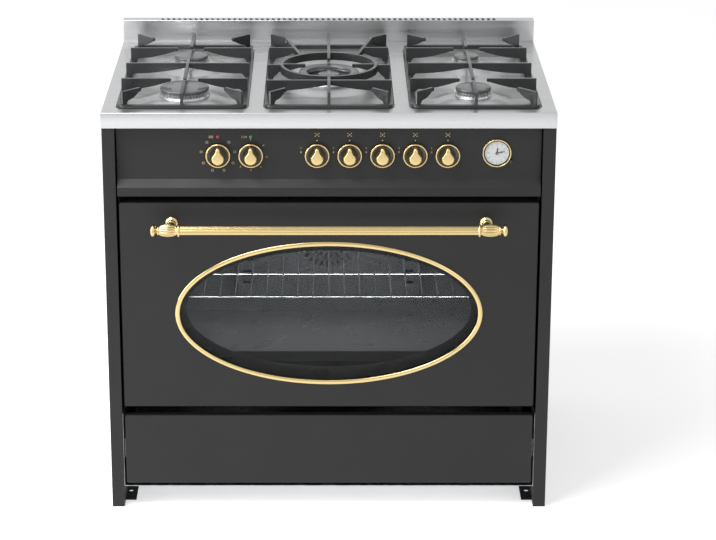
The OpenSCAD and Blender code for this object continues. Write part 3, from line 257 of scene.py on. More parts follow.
def eased(points, radius, steps=6):
    """Path whose inner corners are rounded by a curve that starts a radius before each.

    The curve is (1-u)^2 a + 2u(1-u) corner + u^2 b, with u from 0 to 1.
    """
    points = np.asarray(points, float)
    before, corner, after = points[:-2], points[1:-1], points[2:]
    a = corner + radius * (before - corner) / np.linalg.norm(before - corner, axis=1, keepdims=True)
    b = corner + radius * (after - corner) / np.linalg.norm(after - corner, axis=1, keepdims=True)
    u = np.linspace(0, 1, steps)[None, :, None]
    curve = (1 - u) ** 2 * a[:, None] + 2 * u * (1 - u) * corner[:, None] + u ** 2 * b[:, None]
    return np.concatenate([points[:1], curve.reshape(-1, points.shape[1]), points[-1:]])


def rounded_outline(width, height, radius, steps=8):
    """Closed rectangle outline about the origin, with quarter circles for corners."""
    w, h = width / 2 - radius, height / 2 - radius
    return np.concatenate([arc((sx * w, sy * h), radius, start, start + 90, steps)
                           for sx, sy, start in ((1, 1, 0), (-1, 1, 90), (-1, -1, 180), (1, -1, 270))])


def slab(edge, low, high, ease=0.0):
    """Solid between two heights over a closed outline that its own middle can see.

    ease rounds the upper edge by drawing the top in by that many millimetres.
    """
    edge = np.asarray(edge, float)
    centre = edge.mean(0)
    inward = edge - centre
    inward /= np.maximum(np.linalg.norm(inward, axis=1, keepdims=True), 1e-9)
    turn = np.linspace(0, math.pi / 2, 4) if ease else np.zeros(1)
    rows = [(edge * 0 + centre, low), (edge, low)]
    rows += [(edge - inward * ease * (1 - math.cos(t)), high - ease * (1 - math.sin(t))) for t in turn]
    rows += [(edge * 0 + centre, high)]
    return surface(np.array([np.column_stack([p, np.full(len(p), h)]) for p, h in rows]))


# Making pieces

FINISHES = {}


def linked(name, data):
    """New object in the scene for a mesh, lamp, camera or text."""
    holder = bpy.data.objects.new(name, data)
    bpy.context.scene.collection.objects.link(holder)
    return holder


def finish_piece(piece, name, body, finish, replaces, crease):
    """Gives a piece its name, finish and smoothing, and sets it on its CAD body."""
    piece.name = name
    piece.data.name = name
    piece.data.materials.clear()
    piece.data.materials.append(FINISHES[finish])
    piece.data.shade_smooth()
    piece.data.set_sharp_from_angle(angle=math.radians(crease))
    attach(piece, body)
    if replaces:
        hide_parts(*replaces)
    return piece


def make(name, shapes, body, finish, replaces=(), crease=38):
    """One object from surfaces in millimetres, its doubles merged and its faces turned outwards."""
    points, quads = together(shapes)
    mesh = bpy.data.meshes.new(name)
    mesh.from_pydata((points * MM).tolist(), [], quads.tolist())
    work = bmesh.new()
    work.from_mesh(mesh)
    bmesh.ops.remove_doubles(work, verts=work.verts, dist=1e-6)
    bmesh.ops.dissolve_degenerate(work, edges=work.edges, dist=1e-7)
    bmesh.ops.recalc_face_normals(work, faces=work.faces)
    work.to_mesh(mesh)
    work.free()
    return finish_piece(linked(name, mesh), name, body, finish, replaces, crease)


def refine(node, finish, round_mm=0.5, segments=2, crease=35):
    """Copy of a CAD node with its loose triangles merged and its sharp edges rounded."""
    source = frame["nodes"][node]
    mesh = source.data.copy()
    work = bmesh.new()
    work.from_mesh(mesh)
    bmesh.ops.remove_doubles(work, verts=work.verts, dist=2e-6)
    bmesh.ops.join_triangles(work, faces=work.faces, angle_face_threshold=math.radians(0.5),
                             angle_shape_threshold=math.pi)
    work.to_mesh(mesh)
    work.free()
    piece = linked(node + "_finished", mesh)
    if round_mm:
        edge = piece.modifiers.new("rounded edges", "BEVEL")
        edge.width = round_mm * MM
        edge.segments = segments
        edge.limit_method = "ANGLE"
        edge.angle_limit = math.radians(crease)
        edge.use_clamp_overlap = True
        edge.miter_outer = "MITER_ARC"
    return finish_piece(piece, node + "_finished", source["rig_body"], finish, (node,), crease)


# Materials


def linear(colour):
    """sRGB hex colour as linear red, green, blue and alpha."""
    value = np.array([int(colour[i:i + 2], 16) for i in (1, 3, 5)]) / 255
    low = value <= 0.04045
    flat = np.where(low, value / 12.92, ((value + 0.055) / 1.055) ** 2.4)
    return (*flat.tolist(), 1.0)


def put(tree, kind, sockets=None, **settings):
    """Adds a node; sockets maps an input to a value, or to the output that feeds it."""
    node = tree.nodes.new(kind)
    for name, value in settings.items():
        setattr(node, name, value)
    for name, value in (sockets or {}).items():
        if isinstance(value, bpy.types.NodeSocket):
            tree.links.new(value, node.inputs[name])
        else:
            node.inputs[name].default_value = value
    return node


def new_material(name):
    """Empty node material and its tree."""
    material = bpy.data.materials.new(name)
    material.use_nodes = True
    material.node_tree.nodes.clear()
    return material, material.node_tree


def surfaced(material, shader):
    """The material, with its shader joined to its output."""
    put(material.node_tree, "ShaderNodeOutputMaterial", {"Surface": shader.outputs[0]})
    return material


def stretched(tree, scale):
    """Object coordinates in metres multiplied by a scale for each axis."""
    place = put(tree, "ShaderNodeTexCoord")
    return put(tree, "ShaderNodeMapping", {"Vector": place.outputs["Object"], "Scale": scale}).outputs[0]


def grain(tree, size_mm, detail=2.0, stretch=(1, 1, 1)):
    """Noise whose blobs are size_mm across, drawn out along an axis by stretch."""
    scale = tuple(1000 / size_mm / s for s in stretch)
    return put(tree, "ShaderNodeTexNoise", {"Vector": stretched(tree, scale), "Scale": 1.0,
                                            "Detail": detail}).outputs["Fac"]


def varied(tree, low, high, size_mm, start=0.3, end=0.7, stretch=(1, 1, 1)):
    """Value from low to high that changes over size_mm, as the grain goes from start to end."""
    return put(tree, "ShaderNodeMapRange", {
        "Value": grain(tree, size_mm, stretch=stretch), "From Min": start, "From Max": end,
        "To Min": low, "To Max": high}).outputs[0]


def mottled(tree, first, second, size_mm, detail=2.0, stretch=(1, 1, 1)):
    """Two hex colours that pass into each other over size_mm."""
    share = put(tree, "ShaderNodeMapRange", {"Value": grain(tree, size_mm, detail, stretch),
                                             "From Min": 0.3, "From Max": 0.7})
    return put(tree, "ShaderNodeMix", {0: share.outputs[0], 6: linear(first), 7: linear(second)},
               data_type="RGBA").outputs[2]


def relief(tree, depth_mm, size_mm, detail=2.0, stretch=(1, 1, 1)):
    """Normal of a surface whose grain stands depth_mm high."""
    return put(tree, "ShaderNodeBump", {"Height": grain(tree, size_mm, detail, stretch),
                                        "Distance": depth_mm * MM}).outputs[0]


def coated_paint(name, colour, roughness):
    """Powder coat on steel: satin, with a fine orange peel that breaks up its highlights.

    The peel is 1 mm across, drawn 2 mm so that it shows.
    """
    material, tree = new_material(name)
    return surfaced(material, put(tree, "ShaderNodeBsdfPrincipled", {
        "Base Color": linear(colour),
        "Roughness": varied(tree, roughness - 0.03, roughness + 0.04, 60.0),
        "IOR": 1.4,
        "Normal": relief(tree, 0.03, 2.0),
    }))


def brushed_steel(name, colour):
    """Stainless sheet with a linear grain along X: reflections smear square to the brushing.

    Scratches are 0.1 mm apart, drawn 1.2 mm so that they show.
    """
    material, tree = new_material(name)
    tangent = put(tree, "ShaderNodeTangent", direction_type="RADIAL", axis="X")
    return surfaced(material, put(tree, "ShaderNodeBsdfPrincipled", {
        "Base Color": linear(colour),
        "Metallic": 1.0,
        "Roughness": varied(tree, 0.26, 0.36, 14.0, stretch=(30, 1, 1)),
        "Anisotropic": 0.6,
        "Tangent": tangent.outputs[0],
        "Normal": relief(tree, 0.006, 1.2, 3.0, (120, 1, 1)),
    }))


def plain_metal(name, colour, roughness, size_mm=3.0, depth_mm=0.01, worn=None):
    """Polished, cast or plated metal: a little colour and gloss variation over its grain."""
    material, tree = new_material(name)
    cloud_mm = size_mm * 12
    return surfaced(material, put(tree, "ShaderNodeBsdfPrincipled", {
        "Base Color": mottled(tree, colour, worn, cloud_mm) if worn else linear(colour),
        "Metallic": 1.0,
        "Roughness": varied(tree, roughness * 0.85, roughness * 1.2, cloud_mm),
        "Normal": relief(tree, depth_mm, size_mm),
    }))


def fired_enamel(name, colour, roughness, coat=0.0, size_mm=2.5, depth_mm=0.02):
    """Vitreous enamel: glass fused to iron, with a wavy skin."""
    material, tree = new_material(name)
    return surfaced(material, put(tree, "ShaderNodeBsdfPrincipled", {
        "Base Color": linear(colour),
        "Roughness": varied(tree, roughness * 0.85, roughness * 1.2, 30.0),
        "Coat Weight": coat,
        "Coat Roughness": 0.04,
        "Normal": relief(tree, depth_mm, size_mm),
    }))


def moulded(name, colour, roughness):
    """Moulded plastic, ceramic or ink: an even colour with a faint mould grain of 0.8 mm."""
    material, tree = new_material(name)
    return surfaced(material, put(tree, "ShaderNodeBsdfPrincipled", {
        "Base Color": linear(colour),
        "Roughness": varied(tree, roughness * 0.9, roughness * 1.15, 12.0),
        "Normal": relief(tree, 0.01, 0.8),
    }))


def galvanised_sheet(name, light, dark):
    """Hot-dip galvanised steel: a zinc spangle of flat crystals about 12 mm across."""
    material, tree = new_material(name)
    cells = put(tree, "ShaderNodeTexVoronoi", {"Vector": stretched(tree, (1000 / 12,) * 3), "Scale": 1.0})
    shade = put(tree, "ShaderNodeSeparateColor", {"Color": cells.outputs["Color"]}).outputs[0]
    tone = put(tree, "ShaderNodeMix", {0: shade, 6: linear(dark), 7: linear(light)}, data_type="RGBA")
    gloss = put(tree, "ShaderNodeMapRange", {"Value": shade, "To Min": 0.34, "To Max": 0.5})
    return surfaced(material, put(tree, "ShaderNodeBsdfPrincipled", {
        "Base Color": tone.outputs[2],
        "Metallic": 1.0,
        "Roughness": gloss.outputs[0],
    }))


def clear_glass(name, tint):
    """Toughened glass coated against glare: tinted straight through, a mirror at grazing angles.

    The mirror's share is Schlick's 0.008 + 0.992 (1 - cos)^5, the same from both sides.
    Handling leaves a faint film on it, about 40 mm across.
    """
    material, tree = new_material(name)
    through = put(tree, "ShaderNodeBsdfTransparent", {"Color": linear(tint)})
    film = varied(tree, 0.01, 0.04, 40.0, 0.4, 0.8)
    mirror = put(tree, "ShaderNodeBsdfGlossy", {"Color": linear("#ffffff"), "Roughness": film})
    facing = put(tree, "ShaderNodeLayerWeight", {"Blend": 0.5}).outputs["Facing"]
    grazing = put(tree, "ShaderNodeMath", {0: facing, 1: 5.0}, operation="POWER").outputs[0]
    share = put(tree, "ShaderNodeMapRange", {"Value": grazing, "To Min": 0.008, "To Max": 1.0})
    return surfaced(material, put(tree, "ShaderNodeMixShader", {
        0: share.outputs[0], 1: through.outputs[0], 2: mirror.outputs[0]}))


def glowing_lens(name, colour, glow, strength):
    """Coloured polycarbonate lens with a small neon behind it."""
    material, tree = new_material(name)
    return surfaced(material, put(tree, "ShaderNodeBsdfPrincipled", {
        "Base Color": linear(colour),
        "Roughness": varied(tree, 0.12, 0.2, 1.0, 0.0, 1.0),
        "Emission Color": linear(glow),
        "Emission Strength": strength,
    }))


def spun_fibre(name, light, dark, size_mm=3.0, stretch=(6, 1, 1)):
    """Mineral wool or woven glass: matt fibres that lie mostly one way."""
    material, tree = new_material(name)
    return surfaced(material, put(tree, "ShaderNodeBsdfPrincipled", {
        "Base Color": mottled(tree, dark, light, size_mm, 6.0, stretch),
        "Roughness": 0.95,
        "Normal": relief(tree, 0.8, size_mm, 6.0, stretch),
    }))


def prepare_finishes(colours):
    """Makes every material once, under the name that the pieces ask for it by."""
    FINISHES.update({
        "paint": coated_paint("powder_coated_anthracite", colours.paint, 0.5),
        "steel": brushed_steel("brushed_stainless_304", colours.steel),
        "zinc": galvanised_sheet("galvanised_steel", "#b9bcbf", "#95989b"),
        "brass": plain_metal("lacquered_polished_brass", colours.brass, 0.16, 4.0, 0.004),
        "satin_brass": plain_metal("satin_cast_brass", colours.brass, 0.3, 1.2, 0.02),
        "dark_disc": fired_enamel("polished_black_disc", "#141416", 0.12, 0.4),
        "enamel": fired_enamel("oven_vitreous_enamel", colours.enamel, 0.3, 0.0, 8.0, 0.01),
        # The door liner is a darker copy of the oven enamel: painted shade for the band seen through the
        # window, between the glass and the liner.
        "liner": fired_enamel("door_enamel_darkened_as_painted_shade", "#1c1d1f", 0.3, 0.0, 8.0, 0.01),
        "iron": fired_enamel("matt_enamelled_cast_iron", colours.iron, 0.32, 0.15, 1.6, 0.05),
        "cap": fired_enamel("satin_cap_enamel", "#4a4b4d", 0.3, 0.2),
        "alloy": plain_metal("die_cast_aluminium", "#c3c5c7", 0.32, 1.0, 0.02, "#b3b5b7"),
        "chrome": plain_metal("bright_chrome_plate", "#a2a4a6", 0.2, 3.0, 0.002),
        "sheath": plain_metal("heat_tinted_sheath", "#6a625c", 0.42, 2.0, 0.02, "#57504c"),
        "outer_glass": clear_glass("tinted_toughened_glass", "#dadbdb"),
        "inner_glass": clear_glass("clear_toughened_glass", "#f0f1f1"),
        "crystal": clear_glass("clock_crystal", "#f6f8f8"),
        "wool": spun_fibre("mineral_wool", "#c9b98a", "#9c8a5c"),
        "seal": spun_fibre("woven_glass_seal", "#76726a", "#4d4a45", 1.6, (1, 1, 1)),
        "ceramic": moulded("glazed_alumina", "#efe9dc", 0.3),
        "pale": moulded("moulded_pbt", "#d8d4c8", 0.45),
        "black": moulded("moulded_black_abs", "#1b1c1e", 0.4),
        "dial": moulded("printed_white_dial", "#f4f1f0", 0.4),
        "print": moulded("gold_screen_print", "#bba878", 0.4),
        "hand": moulded("black_hand_enamel", "#16161a", 0.3),
        "red": glowing_lens("red_lamp_lens", "#8c1c28", "#ff5060", 0.15),
        "green": glowing_lens("green_lamp_lens", "#1c5a34", "#60ff90", 0.12),
    })


# Body


def build_body():
    """Painted and galvanised sheet metal of the carcass."""
    for node in ("side_panel_left", "side_panel_right", "back_panel", "front_frame"):
        refine(node, "paint", 0.5)
    refine("base_panel", "zinc", 0.4)
    refine("screws", "zinc", 0.25, 1)


def easing(t):
    """Smooth step from 0 to 1: 3t^2 - 2t^3."""
    t = np.clip(t, 0, 1)
    return t * t * (3 - 2 * t)


def pan_distance(x, y, centre_x, width):
    """Distance inside a pan's rounded outline, positive within, in millimetres."""
    qx = np.abs(x - centre_x) - (width / 2 - PAN_CORNER)
    qy = np.abs(y - PAN_Y) - (PAN_LENGTH / 2 - PAN_CORNER)
    outside = np.hypot(np.maximum(qx, 0), np.maximum(qy, 0)) + np.minimum(np.maximum(qx, qy), 0)
    return PAN_CORNER - outside


def pressed_height(x, y):
    """Height of the pressed top below the deck: pan walls and the conical seat of each burner."""
    height = np.zeros_like(x)
    for centre_x, width in PANS:
        inside = pan_distance(x, y, centre_x, width)
        height = np.where(inside > 0, -PAN_DEPTH * easing(inside / PAN_WALL), height)
    for burner_x, depth, cap in BURNERS:
        gap = np.hypot(x - burner_x, y - FRONT_Y - depth)
        outer = cap / 2 + BOSS_MARGIN + BOSS_RUN
        seat = -PAN_DEPTH + BOSS_H * np.clip((outer - gap) / BOSS_RUN, 0, 1)
        height = np.where(gap < outer, seat, height)
    return height


def grid_lines(low, high, walls):
    """Places along an axis: every TOP_STEP, and every 0.9 mm across each pan wall."""
    lines = [np.arange(low, high, TOP_STEP), [high]]
    lines += [wall + inward * np.concatenate([np.arange(-1, 8, 0.9), np.arange(8, 22, 2.2)])
              for wall, inward in walls]
    merged = np.unique(np.round(np.concatenate(lines), 2))
    return merged[np.concatenate([[True], np.diff(merged) > 0.3])]


def build_worktop():
    """Pressed stainless top: a height over (x, y), its edges turned down all round; and the upstand."""
    left, right = LIP_BEND - BODY_HALF, BODY_HALF - LIP_BEND
    front, rear = FRONT_Y - LIP_OUT + LIP_BEND, REAR_Y - LIP_BEND
    xs = grid_lines(left, right, [(c + s * w / 2, -s) for c, w in PANS for s in (-1, 1)])
    ys = grid_lines(front, rear, [(PAN_Y + s * PAN_LENGTH / 2, -s) for s in (-1, 1)])
    x, y = np.meshgrid(xs, ys)
    z = DECK_Z + pressed_height(x, y)
    top = np.stack([x, y, z], -1)
    rim = np.concatenate([top[0], top[1:, -1], top[-1, -2::-1], top[-2:0:-1, 0]])
    out = np.zeros_like(rim)
    out[:, 0] = np.isclose(rim[:, 0], right).astype(float) - np.isclose(rim[:, 0], left)
    out[:, 1] = np.isclose(rim[:, 1], rear).astype(float) - np.isclose(rim[:, 1], front)
    rows = [rim + out * LIP_BEND * math.sin(t) - [0, 0, LIP_BEND * (1 - math.cos(t))]
            for t in np.radians(np.linspace(0, 90, 6))]
    for push, height in ((LIP_BEND, 0.8), (LIP_BEND - 0.8, 0), (-LIP_HEM, 0), (-LIP_HEM, TOP_SHEET),
                         (0.5, TOP_SHEET)):
        rows.append(np.column_stack([(rim + out * push)[:, :2], np.full(len(rim), LIP_Z + height)]))
    rows.append(rim - [0, 0, TOP_SHEET])
    underside = np.stack([x, y, z - TOP_SHEET], -1)
    make("worktop_pressing",
         [surface(top, wrap_cols=False), surface(np.array(rows)), surface(underside, wrap_cols=False)],
         "cabinet", "steel", ("worktop",), 50)
    refine("upstand", "steel", 0.8)


# Hob


def toothed(profile, top_h, low_h, slots, depth, steps_each=8):
    """Lathe whose radius drops by depth in each flame slot between two heights."""
    def lobes(a, h):
        wave = np.cos(a * slots)
        return -depth * easing((wave - 0.35) / 0.3) * ((h > low_h) & (h < top_h))
    return lathe(profile, slots * steps_each, lobes)


def burner_crown(diameter):
    """Crown: flared base, a neck and the ring of flame slots under the cap."""
    r, hole = diameter / 2, diameter * 0.3
    profile = outline([hole, -12], [hole, 0], [r, 0], arc((r + 0.4, 1.1), 1.1, -90, 60, 5),
                      [r - 1.4, 3.2], [r - 2.2, 4.6], [r - 1.0, 5.0], [r - 1.0, CROWN_H - 1],
                      [r - 1.0, CROWN_H - 0.2], [r - 1.8, CROWN_H], [r - 7.5, CROWN_H],
                      [r - 8, CROWN_H - 6], [hole - 4, 2.4], [hole - 4, -12], [hole, -12])
    return toothed(profile, CROWN_H - 0.6, 4.8, round(diameter * 0.44), 2.2)


def cap_profile(radius, bore=0.0):
    """Cap section: a lip under a flat dome whose rim is rounded by an ellipse."""
    rim = arc((0, 0), 1, 0, 90, 7) * [2.4, CAP_H - 3] + [radius - 2.4, 2]
    low = [[bore, 0], [radius - 2.0, 0], [radius - 0.6, 0.8]]
    if bore:
        return outline(low, rim, [[(radius + bore) / 2, CAP_H - 0.4], [bore + 2, CAP_H - 2],
                                  [bore, 2], [bore, 0]])
    return outline(low, rim, [[radius * 0.6, CAP_H - 0.4], [radius * 0.3, CAP_H], [0, CAP_H]])


def build_burners():
    """Cups, crowns, caps and the igniter and sensor beside each burner."""
    igniter = outline([0, 0], [2.5, 0], arc((1.7, 5), 0.8, 0, 90, 3), [0.8, 7.5], [0.8, 11], [0, 11.4])
    sensor = outline([0, 0], [2.4, 0], [2.4, 1.5], [1.6, 2.2], [1.6, 8.8],
                     arc((0, 8.8), 1.6, 0, 90, 4))
    cups, crowns, caps, pegs = [], [], [], []
    for x, depth, cap in BURNERS:
        y, hole = FRONT_Y + depth, cap * 0.3 + 1
        crowns.append(moved(burner_crown(cap), x, y, SEAT_Z))
        bore = cap / 2 - 18 if cap == WOK[2] else 0.0
        caps.append(moved(lathe(cap_profile(cap / 2, bore), 96), x, y, SEAT_Z + CROWN_H))
        cup = outline([0, -32], [hole * 0.6, -32], [hole + 3, -24], [hole + 3, -3], [hole + 8, -3],
                      [hole + 8, 0], [hole, 0], [hole, -20], [hole * 0.5, -26], [0, -26])
        cups.append(moved(lathe(cup, 48), x, y, SEAT_Z - TOP_SHEET))
        reach = cap / 2 + 6
        for peg, angle in ((igniter, math.radians(145)), (sensor, math.radians(35))):
            pegs.append(moved(lathe(peg, 16), x + reach * math.cos(angle), y + reach * math.sin(angle),
                              SEAT_Z - 0.5))
    x, y = WOK[0], FRONT_Y + WOK[1]
    r, top = WOK_INNER / 2, CROWN_H - 5
    inner = outline([8, 0.6], [r - 2, 0.6], [r - 2, 3], [r, 3.8], [r, top - 0.4], [r - 1, top],
                    [8, top], [8, 0.6])
    crowns.append(moved(toothed(inner, top - 0.2, 3.7, 16, 2.0), x, y, SEAT_Z))
    caps.append(moved(lathe(cap_profile(r), 64), x, y, SEAT_Z + top))
    make("burner_cup_set", cups, "cabinet", "alloy", ("burner_cups",))
    make("burner_crown_set", crowns, "cabinet", "alloy", ("burner_crowns",))
    make("burner_cap_set", caps, "cabinet", "cap", ("burner_caps",))
    make("electrode_set", pegs, "cabinet", "ceramic", ("burner_electrodes",))


def build_pan_supports():
    """Cast iron pan supports with softly rounded blades."""
    for side in ("left", "centre", "right"):
        refine("pan_support_" + side, "iron", 1.1, 2, 30)


# Controls


KNOB_R = 24.5
KNOB_GAP = 4.0
GRIP_H = 19.0


def pear():
    """Outline of a knob's grip: a round body that narrows to a pointer at the top."""
    body = arc((0, -4), 13.0, 180 - 14, 360 + 14, 40)
    neck = arc((0, 15.0), 4.0, 10, 170, 14)
    flank = np.array([[9.2, 4.0], [6.2, 8.2], [4.6, 12.0]])
    return outline(body, flank, neck, flank[::-1] * [-1, 1])


def knob_parts():
    """Rim, dished face and grip of a knob, in the panel's local frame.

    The grip is its outline drawn in to a share of its size at each height.
    """
    r = KNOB_R
    rim = outline([r - 3, 0], [r - 1.2, 0], arc((r - 1.5, 5.2), 1.5, -40, 200, 12), [r - 3.2, 3.6],
                  [r - 3, 0])
    face = outline([0, 0.4], [r - 3, 0.4], [r - 3.1, 3.8], [r - 8, 2.6], [8, 1.9], [0, 1.9])
    edge = pear()
    rows = []
    for share, height in [(0, 1.8), (1.06, 1.8), (1.02, 2.6), (1.0, 4.0), (0.99, 13.0), (0.975, 15.0),
                          (0.93, 17.0), (0.85, 18.3), (0.7, 18.9), (0.4, GRIP_H), (0, GRIP_H)]:
        rows.append(np.column_stack([edge * share, np.full(len(edge), height)]))
    return lathe(rim, 72), lathe(face, 72), surface(np.array(rows))


def build_knobs():
    """Seven knobs: brass rim, dark polished face and satin brass grip; two have their own spindle."""
    knobs = [("gas_knob_%d" % k, "knob_%d" % k) for k in range(1, 6)]
    knobs += [("function_knob", "function_selector"), ("thermostat_knob", "thermostat")]
    for node, body in knobs:
        x, _, z = middle(node)
        rim, face, grip = [on_panel(moved(part, z=KNOB_GAP), x, z) for part in knob_parts()]
        grips = [grip]
        if not node.startswith("gas"):
            root = PANEL_Y - span(node)[1][1] + 0.2
            spindle = outline([0, root], [4.0, root], [4.0, 5.0], [0, 5.0])
            grips.append(on_panel(lathe(spindle, 24), x, z))
        make(node + "_rim", [rim], body, "brass", (node,), 30)
        make(node + "_face", [face], body, "dark_disc")
        make(node + "_grip", grips, body, "satin_brass", (), 60)


def dot(x, z, radius, sides=16):
    """Small printed dot that stands 0.1 mm out of the panel."""
    return on_panel(slab(disc_section(radius, sides), -0.05, 0.1), x, z)


def stroke(x0, z0, x1, z1, width=0.7):
    """Printed line between two points of the panel."""
    a, b = np.array([x0, z0], float), np.array([x1, z1], float)
    along = (b - a) / np.linalg.norm(b - a)
    side = np.array([-along[1], along[0]]) * width / 2
    return on_panel(slab(np.array([a - side, b - side, b + side, a + side]), -0.05, 0.1), 0, 0)


def printed_marks():
    """Generic marks: burner icons, dots and flames by the gas knobs, boxes round the function knob,
    ticks round the thermostat knob and bars by the two lamps.
    """
    icon_rise, pointer_rise, flame_side = 40.0, 29.5, -32.0
    box_ring, box_half, tick_in, tick_out = 34.0, 2.0, 30.0, 34.0
    marks = []
    for k in range(1, 6):
        x, _, z = middle("gas_knob_%d" % k)
        marks += [dot(x + dx, z + icon_rise + dz, r) for dx, dz, r in
                  ((-3.4, 4, 1.1), (3.4, 4, 1.1), (0, 1.2, 1.5), (-3.4, -1.6, 1.1), (3.4, -1.6, 1.1))]
        marks.append(dot(x, z + pointer_rise, 1.3))
        x += flame_side
        for dz, size in ((14, 1.6), (6, 2.2)):
            marks.append(stroke(x, z + dz - size, x, z + dz + size, 0.9))
            marks.append(dot(x, z + dz - size * 0.5, size * 0.65))
    function_x, _, z = middle("function_knob")
    # Eight boxes round the knob; the place at its top stays free
    for angle in np.radians(90 + np.arange(40, 360, 40)):
        x, up = function_x + box_ring * math.cos(angle), z + box_ring * math.sin(angle)
        x0, x1, z0, z1 = x - box_half, x + box_half, up - box_half, up + box_half
        marks += [stroke(x0, z0, x1, z0), stroke(x0, z1, x1, z1),
                  stroke(x0, z0, x0, z1), stroke(x1, z0, x1, z1)]
    x, _, z = middle("thermostat_knob")
    for turn in (0, 52, 98, 142, 180, 220):
        across, up = math.sin(math.radians(turn)), math.cos(math.radians(turn))
        marks.append(stroke(x + tick_in * across, z + tick_in * up,
                            x + tick_out * across, z + tick_out * up, 1.0))
    z = middle("indicator_lamps")[2]
    marks += [stroke(function_x - 18, z + dz, function_x - 9, z + dz, 0.8) for dz in (-1.8, 0, 1.8)]
    marks += [stroke(x + dx, z - 2.5, x + dx, z + 2.5, 0.8) for dx in (-17, -13)] + [dot(x - 9, z, 1.4)]
    return marks


def build_control_panel():
    """Folded panel, its printed marks, the two lamps and the switches behind it."""
    refine("control_panel", "paint", 0.8, 3)
    make("panel_print", printed_marks(), "cabinet", "print")
    lamp_z = middle("indicator_lamps")[2]
    lens = outline([0, -18], [3.2, -18], [3.2, 0.4], arc((0, 0), 1, 0, 90, 7) * [3.2, 1.9] + [0, 0.4])
    for colour, node in (("red", "function_knob"), ("green", "thermostat_knob")):
        shape = on_panel(lathe(lens, 32), middle(node)[0], lamp_z)
        make(colour + "_lamp", [shape], "cabinet", colour,
             ("indicator_lamps",) if colour == "red" else ())
    refine("oven_switches", "pale", 0.4)


def lettering(text, size, x, z, depth_y):
    """Upright figures as a thin mesh surface, centred at a point of the front."""
    curve = bpy.data.curves.new("figures", "FONT")
    curve.body = text
    curve.size = size * MM
    curve.extrude = 0.05 * MM
    curve.align_x = curve.align_y = "CENTER"
    holder = linked("figures", curve)
    bpy.context.view_layer.update()
    mesh = bpy.data.meshes.new_from_object(holder)
    points = np.zeros(len(mesh.vertices) * 3)
    mesh.vertices.foreach_get("co", points)
    points = points.reshape(-1, 3) / MM
    mesh.calc_loop_triangles()
    corners = np.zeros(len(mesh.loop_triangles) * 3, int)
    mesh.loop_triangles.foreach_get("vertices", corners)
    bpy.data.objects.remove(holder)
    bpy.data.meshes.remove(mesh)
    bpy.data.curves.remove(curve)
    triangles = corners.reshape(-1, 3)
    shape = (points, np.column_stack([triangles, triangles[:, 2]]))
    return on_panel(shape, x, z, depth_y)


def build_clock():
    """Clock: turned brass bezel, printed dial, hands, crystal and the black setting knob."""
    (x, _, z), (r, _, _) = centred("clock_case")
    figure_r, figure_h, tick_r, dial_top = 16.6, 4.8, 21.8, 1.7
    bezel = outline([r - 4, -30], [r - 3.75, -30], [r - 3.75, 0], [r - 0.3, 0],
                    arc((r - 1.3, 3.8), 1.3, -20, 200, 10), [r - 2.6, 1.6], [r - 4.2, 1.4], [r - 4.2, -30])
    make("clock_bezel", [on_panel(lathe(bezel, 96), x, z)], "cabinet", "brass",
         ("clock_case",), 30)
    face_r = r - 4.6
    ring = outline([0, -29], [r - 4.3, -29], [r - 4.3, 1.45], [r - 2.65, 1.65], [r - 2.65, 2.2],
                   [face_r - 0.1, 1.55], [0, 1.55])
    make("clock_ring", [on_panel(lathe(ring, 72), x, z)], "cabinet", "black")
    dial = outline([0, 1.2], [face_r - 0.4, 1.2], [face_r - 0.4, dial_top], [0, dial_top])
    make("clock_dial", [on_panel(lathe(dial, 72), x, z)], "cabinet", "dial")
    figures = []
    for hour in range(1, 13):
        angle = math.radians(90 - hour * 30)
        figures.append(lettering(str(hour), figure_h, x + figure_r * math.cos(angle),
                                 z + figure_r * math.sin(angle), PANEL_Y - dial_top - 0.02))
    for minute in range(60):
        inner, half = (19.4, 0.35) if minute % 5 == 0 else (20.6, 0.15)
        edge = np.array([[inner, -half], [tick_r, -half], [tick_r, half], [inner, half]])
        figures.append(on_panel(turned(slab(edge, dial_top - 0.1, dial_top + 0.05), minute * 6), x, z))
    make("clock_figures", figures, "cabinet", "hand")
    post = outline([0, 1.2], [1.0, 1.2], [1.0, 3.9], [0, 4.0])
    make("clock_post", [on_panel(lathe(post, 16), x, z)], "cabinet", "brass")
    for node in ("minute_hand", "hour_hand"):
        refine(node, "hand", 0)
    crystal = outline([0, 4.2], [r - 2.8, 4.2], arc((0, 0), 1, 0, 90, 9) * [r - 2.8, 2.0] + [0, 4.5])
    make("clock_crystal", [on_panel(lathe(crystal, 72), x, z)], "cabinet",
         "crystal", ("clock_glass",))
    sx, _, sz = middle("clock_knob")
    grip = outline([0, -9], [1.5, -9], [1.5, 0.3], [3.5, 0.3], [3.5, 5.6], arc((2.4, 5.9), 1.1, 0, 90, 4),
                   [0, 7.3])
    shape = lathe(grip, 60, lambda a, h: -0.3 * (np.cos(a * 10) > 0.4) * (h > 0.2) * (h < 6.2))
    make("setting_knob", [on_panel(shape, sx, sz)], "clock_setter", "black",
         ("clock_knob",))


# Door


